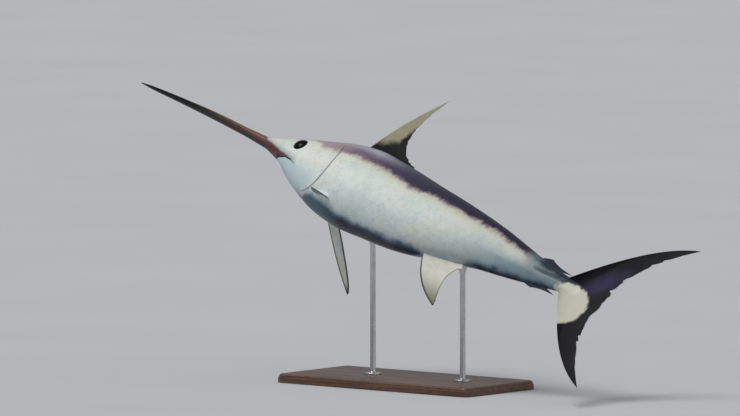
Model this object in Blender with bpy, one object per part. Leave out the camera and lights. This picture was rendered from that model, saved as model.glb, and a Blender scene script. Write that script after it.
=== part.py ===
"""A life-size model of a leaping swordfish on a plain display stand, in metres, +Z up.

The fish is drawn in its own frame: x runs from the tip of the bill to the tail, y to the
fish's right, z to its back. One empty then pitches and banks it over the stand, whose
underside is centred on the world's origin. The head points to -X.
"""
import math

import bmesh
import bpy
from mathutils import Vector

# Driving sizes of the fish, along its axis from the tip of the bill
BILL_END = 0.660
JAW_TIP = 0.757
JAW_HINGE = 0.900
GILL_EDGE = 1.056
HEAD_END = 1.062
TRUNK_MIDDLE = 1.450
STALK_START = 1.900
STALK_END = 2.236
FORK = 2.440
LOBE_TIP = (2.611, 0.389)

# The pose over the stand
PITCH = math.radians(17.6)
BANK = math.radians(47.5)
BALANCE_X = 1.40
AXIS_HEIGHT = 0.692

# The stand
BASE_LENGTH = 0.96
BASE_WIDTH = 0.44
BASE_THICKNESS = 0.036
BASE_EDGE = 0.006
ROD_RADIUS = 0.011
ROD_PLACES = {"stand_rod_front": -0.165, "stand_rod_rear": 0.285}
FLANGE_RADIUS = 0.034
FLANGE_THICKNESS = 0.007
PAD_RADIUS = 0.021
PAD_DEPTH = 0.030

# How neighbouring pieces touch, and how finely the round ones are drawn
GAP = 0.0003
RING_SIDES = 36
SECTION_POWER = 2.25

# Distance from the bill's tip, height of the back, height of the belly, half width
BODY_STATIONS = [
    (0.600, 0.0155, -0.0165, 0.0245),
    (0.660, 0.0200, -0.0200, 0.0270),
    (0.700, 0.0305, -0.0290, 0.0320),
    (0.755, 0.0530, -0.0465, 0.0430),
    (0.843, 0.0885, -0.0960, 0.0640),
    (0.930, 0.1155, -0.1350, 0.0830),
    (1.030, 0.1490, -0.1700, 0.1030),
    (1.150, 0.1715, -0.1900, 0.1175),
    (1.300, 0.1650, -0.1865, 0.1165),
    (1.480, 0.1475, -0.1745, 0.1030),
    (1.660, 0.1310, -0.1370, 0.0830),
    (1.840, 0.1080, -0.0980, 0.0600),
    (2.000, 0.0760, -0.0755, 0.0420),
    (2.130, 0.0490, -0.0520, 0.0300),
    (2.225, 0.0370, -0.0360, 0.0240),
    (2.300, 0.0270, -0.0270, 0.0160),
]

# Distance from the bill's tip, height of the sword's middle, half thickness, half width
BILL_STATIONS = [
    (0.000, 0.0000, 0.0016, 0.0028),
    (0.050, 0.0012, 0.0046, 0.0108),
    (0.150, 0.0042, 0.0078, 0.0172),
    (0.250, 0.0062, 0.0100, 0.0214),
    (0.350, 0.0072, 0.0122, 0.0252),
    (0.450, 0.0062, 0.0138, 0.0264),
    (0.560, 0.0030, 0.0154, 0.0246),
    (0.660, 0.0000, 0.0200, 0.0270),
]


# Curves and sections

def hermite(stations, x, column):
    """A smooth curve through one column of a list of stations."""
    last = len(stations) - 1
    x = min(max(x, stations[0][0]), stations[last][0])
    low = max(i for i in range(last) if stations[i][0] <= x)

    def chord(i):
        rise = stations[i + 1][column] - stations[i][column]
        return rise / (stations[i + 1][0] - stations[i][0])

    def slope(i):
        if i in (0, last):
            return chord(min(i, last - 1))
        before = stations[i][0] - stations[i - 1][0]
        after = stations[i + 1][0] - stations[i][0]
        return (chord(i - 1) * after + chord(i) * before) / (before + after)

    width = stations[low + 1][0] - stations[low][0]
    t = (x - stations[low][0]) / width
    start = (2 * t ** 3 - 3 * t ** 2 + 1) * stations[low][column]
    end = (3 * t ** 2 - 2 * t ** 3) * stations[low + 1][column]
    bend = (t ** 3 - 2 * t ** 2 + t) * slope(low) + (t ** 3 - t ** 2) * slope(low + 1)
    return start + end + bend * width


def bezier(points, t):
    """A point on the curve that these control points draw."""
    while len(points) > 1:
        points = [a.lerp(b, t) for a, b in zip(points, points[1:])]
    return points[0]


def signed_power(value, power):
    return math.copysign(abs(value) ** power, value)


def body_size(x, grow=0.0):
    """Half width, middle height and half height of the body's section."""
    back = hermite(BODY_STATIONS, x, 1) + grow
    belly = hermite(BODY_STATIONS, x, 2) - grow
    return hermite(BODY_STATIONS, x, 3) + grow, (back + belly) / 2, (back - belly) / 2


def body_point(x, angle, grow=0.0):
    """A point of the skin; the angle is 0 on the back and +90 degrees on the right side."""
    half_width, middle, half_height = body_size(x, grow)
    side = signed_power(math.sin(angle), 2 / SECTION_POWER)
    rise = signed_power(math.cos(angle), 2 / SECTION_POWER)
    return Vector((x, side * half_width, middle + rise * half_height))


def ring_angles():
    return [math.tau * i / RING_SIDES for i in range(RING_SIDES)]


def body_ring(x, grow=0.0):
    return [body_point(x, angle, grow) for angle in ring_angles()]


def depth_inside(point, grow=GAP):
    """Below 1 inside the body, 1 on its skin with the gap added."""
    half_width, middle, half_height = body_size(point.x, grow)
    across = abs(point.y) / half_width
    along = abs(point.z - middle) / half_height
    return across ** SECTION_POWER + along ** SECTION_POWER


def seat(point, direction):
    """The place where a line in this direction comes out of the body."""
    low, high = -0.15, 0.15
    for _ in range(40):
        middle = (low + high) / 2
        if depth_inside(point + direction * middle) < 1:
            low = middle
        else:
            high = middle
    return point + direction * high


def steps(start, end, count):
    return [start + (end - start) * i / (count - 1) for i in range(count)]


# Objects and materials

def remove_old_objects():
    for old in list(bpy.data.objects):
        bpy.data.objects.remove(old, do_unlink=True)


def finish_material(name, colour, roughness, metallic=0.0):
    material = bpy.data.materials.new(name)
    material.use_nodes = True
    shader = material.node_tree.nodes["Principled BSDF"]
    shader.inputs["Base Color"].default_value = (*colour, 1.0)
    shader.inputs["Roughness"].default_value = roughness
    shader.inputs["Metallic"].default_value = metallic
    return material


def place(name, shape, material, parent=None, sharp_angle=40):
    """Turn a bmesh into the one object of a node."""
    bmesh.ops.recalc_face_normals(shape, faces=shape.faces)
    mesh = bpy.data.meshes.new(name)
    shape.to_mesh(mesh)
    shape.free()
    mesh.shade_smooth()
    mesh.set_sharp_from_angle(angle=math.radians(sharp_angle))
    mesh.materials.append(material)
    thing = bpy.data.objects.new(name, mesh)
    thing.parent = parent
    bpy.context.collection.objects.link(thing)
    return thing


def apply_boolean(target, others, operation):
    """Cut or fuse closed meshes with one Boolean, then keep the largest closed surface."""
    tools = bpy.data.collections.new("boolean_tools")
    for other in others:
        tools.objects.link(other)
    modifier = target.modifiers.new("boolean", "BOOLEAN")
    modifier.operand_type = "COLLECTION"
    modifier.collection = tools
    modifier.operation = operation
    modifier.solver = "EXACT"
    bpy.context.view_layer.update()
    view = bpy.context.evaluated_depsgraph_get()
    result = bpy.data.meshes.new_from_object(target.evaluated_get(view))
    target.modifiers.remove(modifier)
    target.data = result
    for other in others:
        bpy.data.objects.remove(other, do_unlink=True)
    bpy.data.collections.remove(tools)
    keep_largest_surface(result)
    result.shade_smooth()
    result.set_sharp_from_angle(angle=math.radians(40))


def keep_largest_surface(mesh):
    shape = bmesh.new()
    shape.from_mesh(mesh)
    left = set(shape.verts)
    groups = []
    while left:
        group = {left.pop()}
        edge = list(group)
        while edge:
            for link in edge.pop().link_edges:
                for vert in link.verts:
                    if vert in left:
                        left.discard(vert)
                        group.add(vert)
                        edge.append(vert)
        groups.append(group)
    largest = max(groups, key=len)
    bmesh.ops.delete(shape, geom=[v for v in shape.verts if v not in largest], context="VERTS")
    shape.to_mesh(mesh)
    shape.free()


def loft(rings):
    """A closed body through rings of equal count, with a flat face on each end."""
    shape = bmesh.new()
    rows = [[shape.verts.new(point) for point in ring] for ring in rings]
    for row, after in zip(rows, rows[1:]):
        for i in range(len(row)):
            j = (i + 1) % len(row)
            shape.faces.new((row[i], row[j], after[j], after[i]))
    shape.faces.new(rows[0])
    shape.faces.new(rows[-1])
    return shape


def lathe(profile, sides=24):
    """A turned body from a list of (radius, height), closed on its axis at both ends."""
    rings = []
    for radius, height in profile:
        rings.append([Vector((radius * math.cos(math.tau * i / sides),
                              radius * math.sin(math.tau * i / sides), height))
                      for i in range(sides)])
    return loft(rings)


# Fins

def membrane(rays, half_thickness, normal, root):
    """A fin blade between rays: each ray is a line of points from its root outwards.

    half_thickness(u, v, crest) gives the half thickness across the fin (u), along the
    ray (v) and on a ridge (crest 1) or between two (crest 0). root moves a point of the
    lowest row onto what the fin grows from. Both faces are split into triangles alike.
    """
    shape = bmesh.new()
    columns, rows = len(rays), len(rays[0])
    left, right, middle = [], [], []
    for i, ray in enumerate(rays):
        u = i / (columns - 1)
        near, far = [], []
        for j, point in enumerate(ray):
            offset = normal * half_thickness(u, j / (rows - 1), i % 2)
            side_a, side_b = point + offset, point - offset
            if j == 0:
                side_a, side_b = root(side_a), root(side_b)
                middle.append(shape.verts.new(root(point)))
            near.append(shape.verts.new(side_a))
            far.append(shape.verts.new(side_b))
        left.append(near)
        right.append(far)
    for side in (left, right):
        for i in range(columns - 1):
            for j in range(rows - 1):
                shape.faces.new((side[i][j], side[i + 1][j], side[i + 1][j + 1]))
                shape.faces.new((side[i][j], side[i + 1][j + 1], side[i][j + 1]))
        for i in range(columns - 1):
            shape.faces.new((side[i][0], side[i + 1][0], middle[i]))
            shape.faces.new((side[i + 1][0], middle[i + 1], middle[i]))
    for i in range(columns - 1):
        shape.faces.new((left[i][-1], left[i + 1][-1], right[i + 1][-1]))
        shape.faces.new((left[i][-1], right[i + 1][-1], right[i][-1]))
    for i in (0, columns - 1):
        shape.faces.new((middle[i], left[i][0], left[i][1]))
        shape.faces.new((middle[i], left[i][1], right[i][1]))
        shape.faces.new((middle[i], right[i][1], right[i][0]))
        for j in range(1, rows - 1):
            shape.faces.new((left[i][j], left[i][j + 1], right[i][j + 1]))
            shape.faces.new((left[i][j], right[i][j + 1], right[i][j]))
    return shape


def blade_thickness(root, edge, ridge, front_extra=0.0):
    """Thick and fleshy at the root, thin at the margin, with ridges on the rays."""
    def half(u, v, crest):
        flesh = root * (1 - v) ** 5 * (1 - 0.45 * u)
        blade = edge + 1.6 * edge * (1 - v)
        front = front_extra * (1 - 0.75 * v) * max(0.0, 1 - 6 * u)
        return flesh + blade + front + crest * ridge * (1 - 0.6 * v)
    return half


def fan(ray_count, row_count, base, tip, bow):
    """Rays from base(u) to tip(u), each bowed forward by bow(u)."""
    rays = []
    for i in range(2 * ray_count + 1):
        u = i / (2 * ray_count)
        start, end = base(u), tip(u)
        control = (start + end) / 2 + bow(u)
        rays.append([bezier([start, control, end], (j / (row_count - 1)) ** 1.25)
                     for j in range(row_count)])
    return rays


def flat_point(x, z):
    return Vector((x, 0.0, z))


def add_first_dorsal_fin(pose, material):
    front, rear = 1.060, 1.286
    margin = [flat_point(1.197, 0.514), flat_point(1.150, 0.330),
              flat_point(1.165, 0.212), flat_point(1.296, 0.184)]

    def base(u):
        x = front + (rear - front) * u
        return flat_point(x, hermite(BODY_STATIONS, x, 1))

    def tip(u):
        return bezier(margin, u)

    def bow(u):
        return Vector((-0.043, 0.0, -0.017)) * (1 - u) ** 2

    shape = membrane(fan(14, 10, base, tip, bow), blade_thickness(0.0085, 0.0006, 0.0010, 0.002),
                     Vector((0, 1, 0)), lambda p: seat(p, Vector((0, 0, 1))))
    place("first_dorsal_fin", shape, material, pose)


def add_second_dorsal_fin(pose, material):
    front, rear = 2.052, 2.150
    margin = [flat_point(2.108, 0.079), flat_point(2.140, 0.060), flat_point(2.230, 0.050)]

    def base(u):
        x = front + (rear - front) * u
        return flat_point(x, hermite(BODY_STATIONS, x, 1))

    def bow(u):
        return Vector((-0.006, 0.0, 0.004)) * (1 - u)

    shape = membrane(fan(5, 5, base, lambda u: bezier(margin, u), bow),
                     blade_thickness(0.0045, 0.0006, 0.0007), Vector((0, 1, 0)),
                     lambda p: seat(p, Vector((0, 0, 1))))
    place("second_dorsal_fin", shape, material, pose)


def add_first_anal_fin(pose, material):
    front, rear = 1.612, 1.786
    margin = [flat_point(1.814, -0.330), flat_point(1.846, -0.334), flat_point(1.770, -0.262),
              flat_point(1.748, -0.165), flat_point(1.812, -0.132)]

    def base(u):
        x = front + (rear - front) * u
        return flat_point(x, hermite(BODY_STATIONS, x, 2))

    def bow(u):
        return Vector((-0.048, 0.0, -0.030)) * (1 - u) ** 2

    shape = membrane(fan(11, 8, base, lambda u: bezier(margin, u), bow),
                     blade_thickness(0.0070, 0.0006, 0.0009, 0.0015), Vector((0, 1, 0)),
                     lambda p: seat(p, Vector((0, 0, -1))))
    place("first_anal_fin", shape, material, pose)


def add_second_anal_fin(pose, material):
    front, rear = 2.058, 2.156
    margin = [flat_point(2.112, -0.074), flat_point(2.150, -0.058), flat_point(2.228, -0.062)]

    def base(u):
        x = front + (rear - front) * u
        return flat_point(x, hermite(BODY_STATIONS, x, 2))

    def bow(u):
        return Vector((-0.006, 0.0, -0.003)) * (1 - u)

    shape = membrane(fan(5, 5, base, lambda u: bezier(margin, u), bow),
                     blade_thickness(0.0045, 0.0006, 0.0007), Vector((0, 1, 0)),
                     lambda p: seat(p, Vector((0, 0, -1))))
    place("second_anal_fin", shape, material, pose)


def add_tail_lobe(name, side, reach, pose, material):
    """One lobe of the crescent tail; side is +1 for the upper lobe."""
    tip_x, tip_z = LOBE_TIP
    _, _, stalk_half_height = body_size(STALK_END)
    top = stalk_half_height * 0.97
    margin = [flat_point(tip_x, side * tip_z * reach), flat_point(2.486, side * 0.268),
              flat_point(2.405, side * 0.135), flat_point(FORK, side * GAP / 2)]
    lead_bow = Vector((-0.003, 0.0, side * 0.111))

    def base(u):
        return flat_point(STALK_END + GAP, side * (top * (1 - u) + GAP / 2))

    def tip(u):
        return bezier(margin, u)

    def bow(u):
        return lead_bow * (1 - u) ** 2.2

    def half(u, v, crest):
        z = top * (1 - u) / stalk_half_height
        root = 0.0190 * (1 - z ** SECTION_POWER) ** (1 / SECTION_POWER)
        blade = 0.0007 + 0.0016 * (1 - v)
        lead = 0.0030 * (1 - 0.85 * v) * max(0.0, 1 - 8 * u)
        ridge = crest * 0.0011 * (1 - 0.55 * v) * min(1.0, 6 * v)
        return root * (1 - v) ** 5 + blade * min(1.0, 12 * v + 0.3) + lead + ridge

    def root(point):
        return Vector((STALK_END + GAP, point.y, point.z))

    shape = membrane(fan(13, 9, base, tip, bow), half, Vector((0, 1, 0)), root)
    place(name, shape, material, pose)


def add_pectoral_fin(name, side, sweep, droop, pose, material):
    """A long stiff blade low on the flank; side is +1 on the fish's right."""
    chord, length = 0.054, 0.300
    root_x, root_angle = 1.112, math.radians(138)
    outward = Vector((math.sin(sweep), side * math.cos(sweep) * math.cos(droop),
                      -math.cos(sweep) * math.sin(droop)))
    along = Vector((1.0, 0.0, 0.0))
    normal = outward.cross(along).normalized() * side
    centre = body_point(root_x, side * root_angle)
    forward = (along - outward * along.dot(outward)).normalized()
    margin = [centre + outward * length,
              centre + outward * length + forward * 0.026,
              centre + outward * length * 0.74 + forward * 0.026,
              centre + outward * length * 0.34 + forward * 0.032,
              centre + outward * length * 0.10 + along * (chord / 2 + 0.004)]

    def base(u):
        return seat(centre + along * chord * (u - 0.5), outward)

    def bow(u):
        return (forward * -0.010 + normal * 0.012) * (1 - u)

    shape = membrane(fan(9, 10, base, lambda u: bezier(margin, u), bow),
                     blade_thickness(0.0060, 0.0006, 0.0008, 0.0015), normal,
                     lambda p: seat(p, outward))
    place(name, shape, material, pose)


def add_keel(name, side, pose, material):
    """The wide keel on one side of the tail stalk."""
    start, end, reach = 2.080, 2.230, 0.017

    def keel_ray(u):
        x = start + (end - start) * u
        half_width, middle, _ = body_size(x)
        root = Vector((x, side * half_width, middle))
        swell = 0.0012 + reach * math.sin(math.pi * (0.04 + 0.92 * u)) ** 0.8
        return [root, root + Vector((0, side * swell * 0.5, 0)), root + Vector((0, side * swell, 0))]

    def half(u, v, crest):
        return (0.0012 + 0.0055 * math.sin(math.pi * (0.05 + 0.9 * u))) * (1 - 0.72 * v)

    rays = [keel_ray(i / 12) for i in range(13)]
    shape = membrane(rays, half, Vector((0, 0, 1)), lambda p: seat(p, Vector((0, side, 0))))
    place(name, shape, material, pose)


# Head

def mouth_height(x):
    """The line of the mouth, from under the bill back to the jaw's hinge."""
    return -0.0225 - 0.0160 * (x - BILL_END) / (JAW_TIP - BILL_END) - 0.5 * max(0.0, x - 0.84) ** 1.5


def lip_half_width(x):
    """Half width of the body's section at the line of the mouth."""
    half_width, middle, half_height = body_size(x)
    fall = min(0.995, abs(mouth_height(x) - middle) / half_height)
    return half_width * (1 - fall ** SECTION_POWER) ** (1 / SECTION_POWER)


def tube(path, radius, sides=6):
    """A closed round strip along a line of points, tapered at both ends."""
    rings = []
    last = len(path) - 1
    for i, point in enumerate(path):
        along = (path[min(i + 1, last)] - path[max(i - 1, 0)]).normalized()
        across = along.cross(Vector((0, 0, 1))).normalized()
        up = across.cross(along)
        size = radius * (0.45 if i in (0, last) else 1.0)
        rings.append([point + (across * math.cos(math.tau * k / sides)
                               + up * math.sin(math.tau * k / sides)) * size
                      for k in range(sides)])
    return loft(rings)


def ellipsoid(centre, half_sizes, turn, segments, rings):
    """A ball squeezed along its own axes, with its z axis turned to point outwards."""
    shape = bmesh.new()
    bmesh.ops.create_uvsphere(shape, u_segments=segments, v_segments=rings, radius=1.0)
    spin = Vector((0, 0, 1)).rotation_difference(turn).to_matrix()
    for vert in shape.verts:
        vert.co = centre + spin @ Vector(c * h for c, h in zip(vert.co, half_sizes))
    return shape


def skin_normal(x, angle):
    step = 0.002
    ahead = body_point(x + step, angle) - body_point(x - step, angle)
    round_ = body_point(x, angle + step) - body_point(x, angle - step)
    normal = ahead.cross(round_).normalized()
    outward = Vector((0.0, math.sin(angle), math.cos(angle)))
    return normal if normal.dot(outward) > 0 else -normal


EYE_X, EYE_ANGLE = 0.843, math.radians(74)
EYE_RADIUS, EYE_DEPTH, EYE_SUNK = 0.0330, 0.0200, 0.0112
NOSTRILS = ((0.789, 70, 0.0032), (0.797, 68, 0.0040))


def eye_shape(side, grow, segments=24, rings=12):
    normal = skin_normal(EYE_X, side * EYE_ANGLE)
    centre = body_point(EYE_X, side * EYE_ANGLE) - normal * EYE_SUNK
    half_sizes = (EYE_RADIUS + grow, EYE_RADIUS + grow, EYE_DEPTH + grow)
    return ellipsoid(centre, half_sizes, normal, segments, rings)


def add_head(pose, material):
    rings = []
    for x in steps(BILL_END + GAP, JAW_HINGE - GAP, 12):
        floor = mouth_height(x)
        rings.append([Vector((p.x, p.y, max(p.z, floor))) for p in body_ring(x)])
    for x in steps(JAW_HINGE, HEAD_END, 7):
        rings.append(body_ring(x))
    head = place("head", loft(rings), material, pose)
    lips = []
    for side in (-1, 1):
        path = []
        for x in steps(0.716, JAW_HINGE - 0.004, 11):
            edge = lip_half_width(x) - 0.0006
            path.append(Vector((x, side * edge, mouth_height(x) + 0.0027)))
        lips.append(place("lip", tube(path, 0.0024), material, pose))
    apply_boolean(head, lips, "UNION")
    holes = []
    for side in (-1, 1):
        holes.append(place("socket", eye_shape(side, GAP), material, pose))
        for x, angle, size in NOSTRILS:
            turn = skin_normal(x, side * math.radians(angle))
            centre = body_point(x, side * math.radians(angle))
            pit = ellipsoid(centre, (size, size * 0.7, size), turn, 10, 6)
            holes.append(place("nostril", pit, material, pose))
    apply_boolean(head, holes, "DIFFERENCE")


def add_lower_jaw(pose, material):
    """The short pointed lower jaw, a little apart from the upper one."""
    arc_points = 17

    def narrowing(x):
        return min(1.0, 0.16 + 0.84 * ((x - JAW_TIP) / 0.060) ** 0.6)

    def top(x):
        return mouth_height(x) - 0.0030 + 0.0016 * (x - JAW_TIP) / (JAW_HINGE - JAW_TIP)

    rings = []
    for x in steps(JAW_TIP, JAW_HINGE - 2 * GAP, 12):
        half_width, middle, half_height = body_size(x)
        fall = min(0.99, (middle - top(x)) / half_height)
        start = math.pi - math.acos(fall ** (SECTION_POWER / 2))
        ring = []
        for angle in steps(start, math.tau - start, arc_points):
            p = body_point(x, angle)
            ring.append(Vector((x, p.y * narrowing(x), min(p.z, top(x)))))
        rings.append(ring)
    jaw = place("lower_jaw", loft(rings), material, pose)
    path = []
    for x in steps(JAW_HINGE - 0.005, JAW_TIP + 0.0012, 10):
        path.append((x, 1))
    path += [(x, -1) for x, _ in reversed(path)]
    line = []
    for x, side in path:
        edge = lip_half_width(x) * narrowing(x) - 0.0010
        line.append(Vector((x, side * edge, top(x) - 0.0026)))
    lip = place("lip", tube(line, 0.0022), material, pose)
    apply_boolean(jaw, [lip], "UNION")


def add_gill_cover(name, side, pose, material):
    """The wide plate over the gills, free along its rear edge."""
    top, bottom = math.radians(48), math.radians(163)
    rows, columns = 8, 17

    def rear(t):
        return GILL_EDGE - 0.030 * (1 - t / 0.45) ** 2 if t < 0.45 else \
            GILL_EDGE - 0.088 * ((t - 0.45) / 0.55) ** 2.2

    def front(t):
        return 0.965 - 0.052 * math.sin(math.pi * t) ** 0.8 - 0.012 * t

    shape = bmesh.new()
    inner, outer = [], []
    for i in range(columns):
        t = i / (columns - 1)
        angle = side * (top + (bottom - top) * t)
        low, high = [], []
        for j in range(rows):
            v = j / (rows - 1)
            x = front(t) + (rear(t) - front(t)) * v
            rim = min(1.0, 6 * t, 6 * (1 - t))
            thick = 0.0008 + 0.0036 * v ** 1.6 * (0.35 + 0.65 * rim)
            low.append(shape.verts.new(body_point(x, angle, GAP)))
            high.append(shape.verts.new(body_point(x, angle, GAP + thick)))
        inner.append(low)
        outer.append(high)
    for grid in (inner, outer):
        for i in range(columns - 1):
            for j in range(rows - 1):
                shape.faces.new((grid[i][j], grid[i + 1][j], grid[i + 1][j + 1]))
                shape.faces.new((grid[i][j], grid[i + 1][j + 1], grid[i][j + 1]))
    border = [(i, 0) for i in range(columns)] + [(columns - 1, j) for j in range(1, rows)]
    border += [(i, rows - 1) for i in range(columns - 2, -1, -1)]
    border += [(0, j) for j in range(rows - 2, 0, -1)]
    for (i, j), (k, m) in zip(border, border[1:] + border[:1]):
        shape.faces.new((inner[i][j], inner[k][m], outer[k][m]))
        shape.faces.new((inner[i][j], outer[k][m], outer[i][j]))
    place(name, shape, material, pose)


def add_bill(pose, material):
    """The flat sword: its section is a lens that grows rounder towards the head."""
    rings = []
    for x in [0.0, 0.012, 0.035] + steps(0.075, BILL_END, 12):
        middle = hermite(BILL_STATIONS, x, 1)
        half_height = hermite(BILL_STATIONS, x, 2)
        half_width = hermite(BILL_STATIONS, x, 3)
        power = 1.55 + (SECTION_POWER - 1.55) * (x / BILL_END) ** 3
        rings.append([Vector((x, signed_power(math.sin(a), 2 / power) * half_width,
                              middle + signed_power(math.cos(a), 2 / power) * half_height))
                      for a in ring_angles()])
    place("bill", loft(rings), material, pose)


# Trunk and stand

def add_trunk_piece(name, start, end, count, pose, material):
    rings = [body_ring(x) for x in steps(start + GAP, end, count)]
    place(name, loft(rings), material, pose)


def add_stand(pose, wood, steel):
    shape = bmesh.new()
    bmesh.ops.create_cube(shape, size=1.0)
    for vert in shape.verts:
        vert.co = Vector((vert.co.x * BASE_LENGTH, vert.co.y * BASE_WIDTH,
                          (vert.co.z + 0.5) * BASE_THICKNESS))
    upright = [e for e in shape.edges if abs(e.verts[0].co.z - e.verts[1].co.z) > 0.01]
    bmesh.ops.bevel(shape, geom=upright, offset=0.030, segments=6, affect="EDGES", profile=0.5)
    rim = [e for e in shape.edges if min(v.co.z for v in e.verts) > BASE_THICKNESS * 0.9]
    bmesh.ops.bevel(shape, geom=rim, offset=BASE_EDGE, segments=3, affect="EDGES", profile=0.5)
    place("stand_base", shape, wood)
    floor = BASE_THICKNESS + GAP
    for name, x in ROD_PLACES.items():
        under = axis_height_at(x) - 0.085
        profile = [(FLANGE_RADIUS, floor), (FLANGE_RADIUS, floor + FLANGE_THICKNESS * 0.7),
                   (FLANGE_RADIUS * 0.93, floor + FLANGE_THICKNESS),
                   (ROD_RADIUS * 1.35, floor + FLANGE_THICKNESS),
                   (ROD_RADIUS, floor + FLANGE_THICKNESS + 0.004),
                   (ROD_RADIUS, under - 0.115), (PAD_RADIUS, under - 0.115 + PAD_DEPTH),
                   (PAD_RADIUS, under)]
        rod = place(name, lathe(profile), steel)
        rod.location = (x, 0.0, 0.0)
        cutter = place("body_cutter", loft([body_ring(s, GAP) for s in steps(1.0, 2.0, 34)]),
                       steel, pose)
        apply_boolean(rod, [cutter], "DIFFERENCE")


def axis_height_at(x):
    """Height of the fish's axis above the floor where the world's X is x."""
    return AXIS_HEIGHT - x * math.tan(PITCH)


def main():
    remove_old_objects()
    pose = bpy.data.objects.new("swordfish_pose", None)
    bpy.context.collection.objects.link(pose)
    pose.rotation_euler = (-BANK, PITCH, 0.0)
    pose.location = (-BALANCE_X * math.cos(PITCH), 0.0, AXIS_HEIGHT + BALANCE_X * math.sin(PITCH))
    bpy.context.view_layer.update()

    skin = finish_material("silver_skin", (0.62, 0.68, 0.66), 0.30)
    horn = finish_material("bill_horn", (0.10, 0.05, 0.04), 0.35)
    dark_fin = finish_material("dark_fin_skin", (0.020, 0.014, 0.022), 0.32)
    cream_fin = finish_material("cream_fin_skin", (0.58, 0.54, 0.42), 0.40)
    grey_fin = finish_material("grey_fin_skin", (0.26, 0.31, 0.27), 0.38)
    eye_black = finish_material("eye_black", (0.008, 0.010, 0.014), 0.06)
    wood = finish_material("stand_walnut", (0.060, 0.030, 0.017), 0.40)
    steel = finish_material("stand_steel", (0.60, 0.60, 0.60), 0.30, 1.0)

    add_bill(pose, horn)
    add_head(pose, skin)
    add_lower_jaw(pose, skin)
    for name, side in (("left", -1), ("right", 1)):
        place("eye_" + name, eye_shape(side, 0.0), eye_black, pose)
        add_gill_cover("gill_cover_" + name, side, pose, skin)
        add_keel("keel_" + name, side, pose, dark_fin)
    add_trunk_piece("trunk_front", HEAD_END, TRUNK_MIDDLE, 10, pose, skin)
    add_trunk_piece("trunk_rear", TRUNK_MIDDLE, STALK_START, 11, pose, skin)
    add_trunk_piece("tail_stalk", STALK_START, STALK_END, 11, pose, skin)
    add_first_dorsal_fin(pose, dark_fin)
    add_second_dorsal_fin(pose, dark_fin)
    add_first_anal_fin(pose, cream_fin)
    add_second_anal_fin(pose, dark_fin)
    add_pectoral_fin("pectoral_fin_left", -1, math.radians(24.5), math.radians(26), pose, grey_fin)
    add_pectoral_fin("pectoral_fin_right", 1, math.radians(19.4), math.radians(28), pose, grey_fin)
    add_tail_lobe("tail_lobe_upper", 1, 1.0, pose, dark_fin)
    add_tail_lobe("tail_lobe_lower", -1, 0.98, pose, dark_fin)
    add_stand(pose, wood, steel)


main()
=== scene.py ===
import math

import bpy
import numpy as np
from mathutils import Matrix, Vector
from mathutils.bvhtree import BVHTree


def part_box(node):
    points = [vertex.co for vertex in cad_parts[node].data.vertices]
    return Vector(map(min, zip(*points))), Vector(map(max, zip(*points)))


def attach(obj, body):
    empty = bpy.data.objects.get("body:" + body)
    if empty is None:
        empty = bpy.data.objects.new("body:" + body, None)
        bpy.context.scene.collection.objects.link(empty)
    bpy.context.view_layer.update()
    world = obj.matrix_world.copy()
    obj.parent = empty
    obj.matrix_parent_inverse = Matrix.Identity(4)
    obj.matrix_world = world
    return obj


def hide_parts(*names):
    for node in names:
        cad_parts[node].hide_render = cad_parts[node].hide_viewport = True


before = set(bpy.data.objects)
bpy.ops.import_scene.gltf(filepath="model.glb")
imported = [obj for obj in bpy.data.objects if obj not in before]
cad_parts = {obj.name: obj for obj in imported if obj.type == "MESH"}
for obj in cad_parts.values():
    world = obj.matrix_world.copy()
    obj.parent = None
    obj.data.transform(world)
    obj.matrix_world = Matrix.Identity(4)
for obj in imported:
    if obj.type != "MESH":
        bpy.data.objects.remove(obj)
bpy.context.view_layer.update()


# The room: a pale matt floor of painted screed that runs far past the view, one wide soft light
# high on the camera's left, a weak one from its right and an even bright sky all round.
# The camera looks across the fish's left side from far off, through a long lens.

PHOTO_WIDTH = 740
METRES_PER_PIXEL = 1.70 / 436
CAMERA_AZIMUTH = math.radians(39.2)
CAMERA_ELEVATION = math.radians(5.0)
CAMERA_DISTANCE = 60.0
CAMERA_AIM = Vector((-0.1442, -0.0433, 0.6909))
SENSOR_WIDTH = 36.0
FLOOR_REACH = 220.0
SIGHT_REACH = 1000.0
SKY_STRENGTH = 0.42


def linear(code):
    """An sRGB hex colour as the linear red, green, blue and alpha that sockets take."""
    channels = [int(code[i:i + 2], 16) / 255 for i in (1, 3, 5)]
    return [c / 12.92 if c <= 0.04045 else ((c + 0.055) / 1.055) ** 2.4 for c in channels] + [1.0]


def give(node, inputs):
    """Set a node's inputs, by name or in order: values, hex colours or other nodes' outputs."""
    for key, value in inputs.items() if isinstance(inputs, dict) else enumerate(inputs):
        usable = [s for s in node.inputs if s.enabled]
        socket = usable[key] if isinstance(key, int) else next(s for s in usable if s.name == key)
        if isinstance(value, bpy.types.Node):
            value = next(s for s in value.outputs if s.enabled)
        if isinstance(value, bpy.types.NodeSocket):
            node.id_data.links.new(value, socket)
        else:
            socket.default_value = linear(value) if isinstance(value, str) else value


def add_node(tree, kind, inputs=(), ramp=(), **settings):
    """Add a shader node with its settings, its inputs and the colours of its ramp."""
    made = tree.nodes.new("ShaderNode" + kind)
    for name, value in settings.items():
        setattr(made, name, value)
    give(made, inputs)
    elements = made.color_ramp.elements if ramp else ()
    while len(elements) < len(ramp):
        elements.new(1.0)
    for element, (position, colour) in zip(elements, ramp):
        element.position = position
        element.color = linear(colour)
    return made


def surface(name, inputs):
    """Start a material and set its constant values on the shader's own sockets."""
    material = bpy.data.materials.new(name)
    material.use_nodes = True
    shader = material.node_tree.nodes["Principled BSDF"]
    give(shader, inputs)
    return material, material.node_tree, shader


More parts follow.
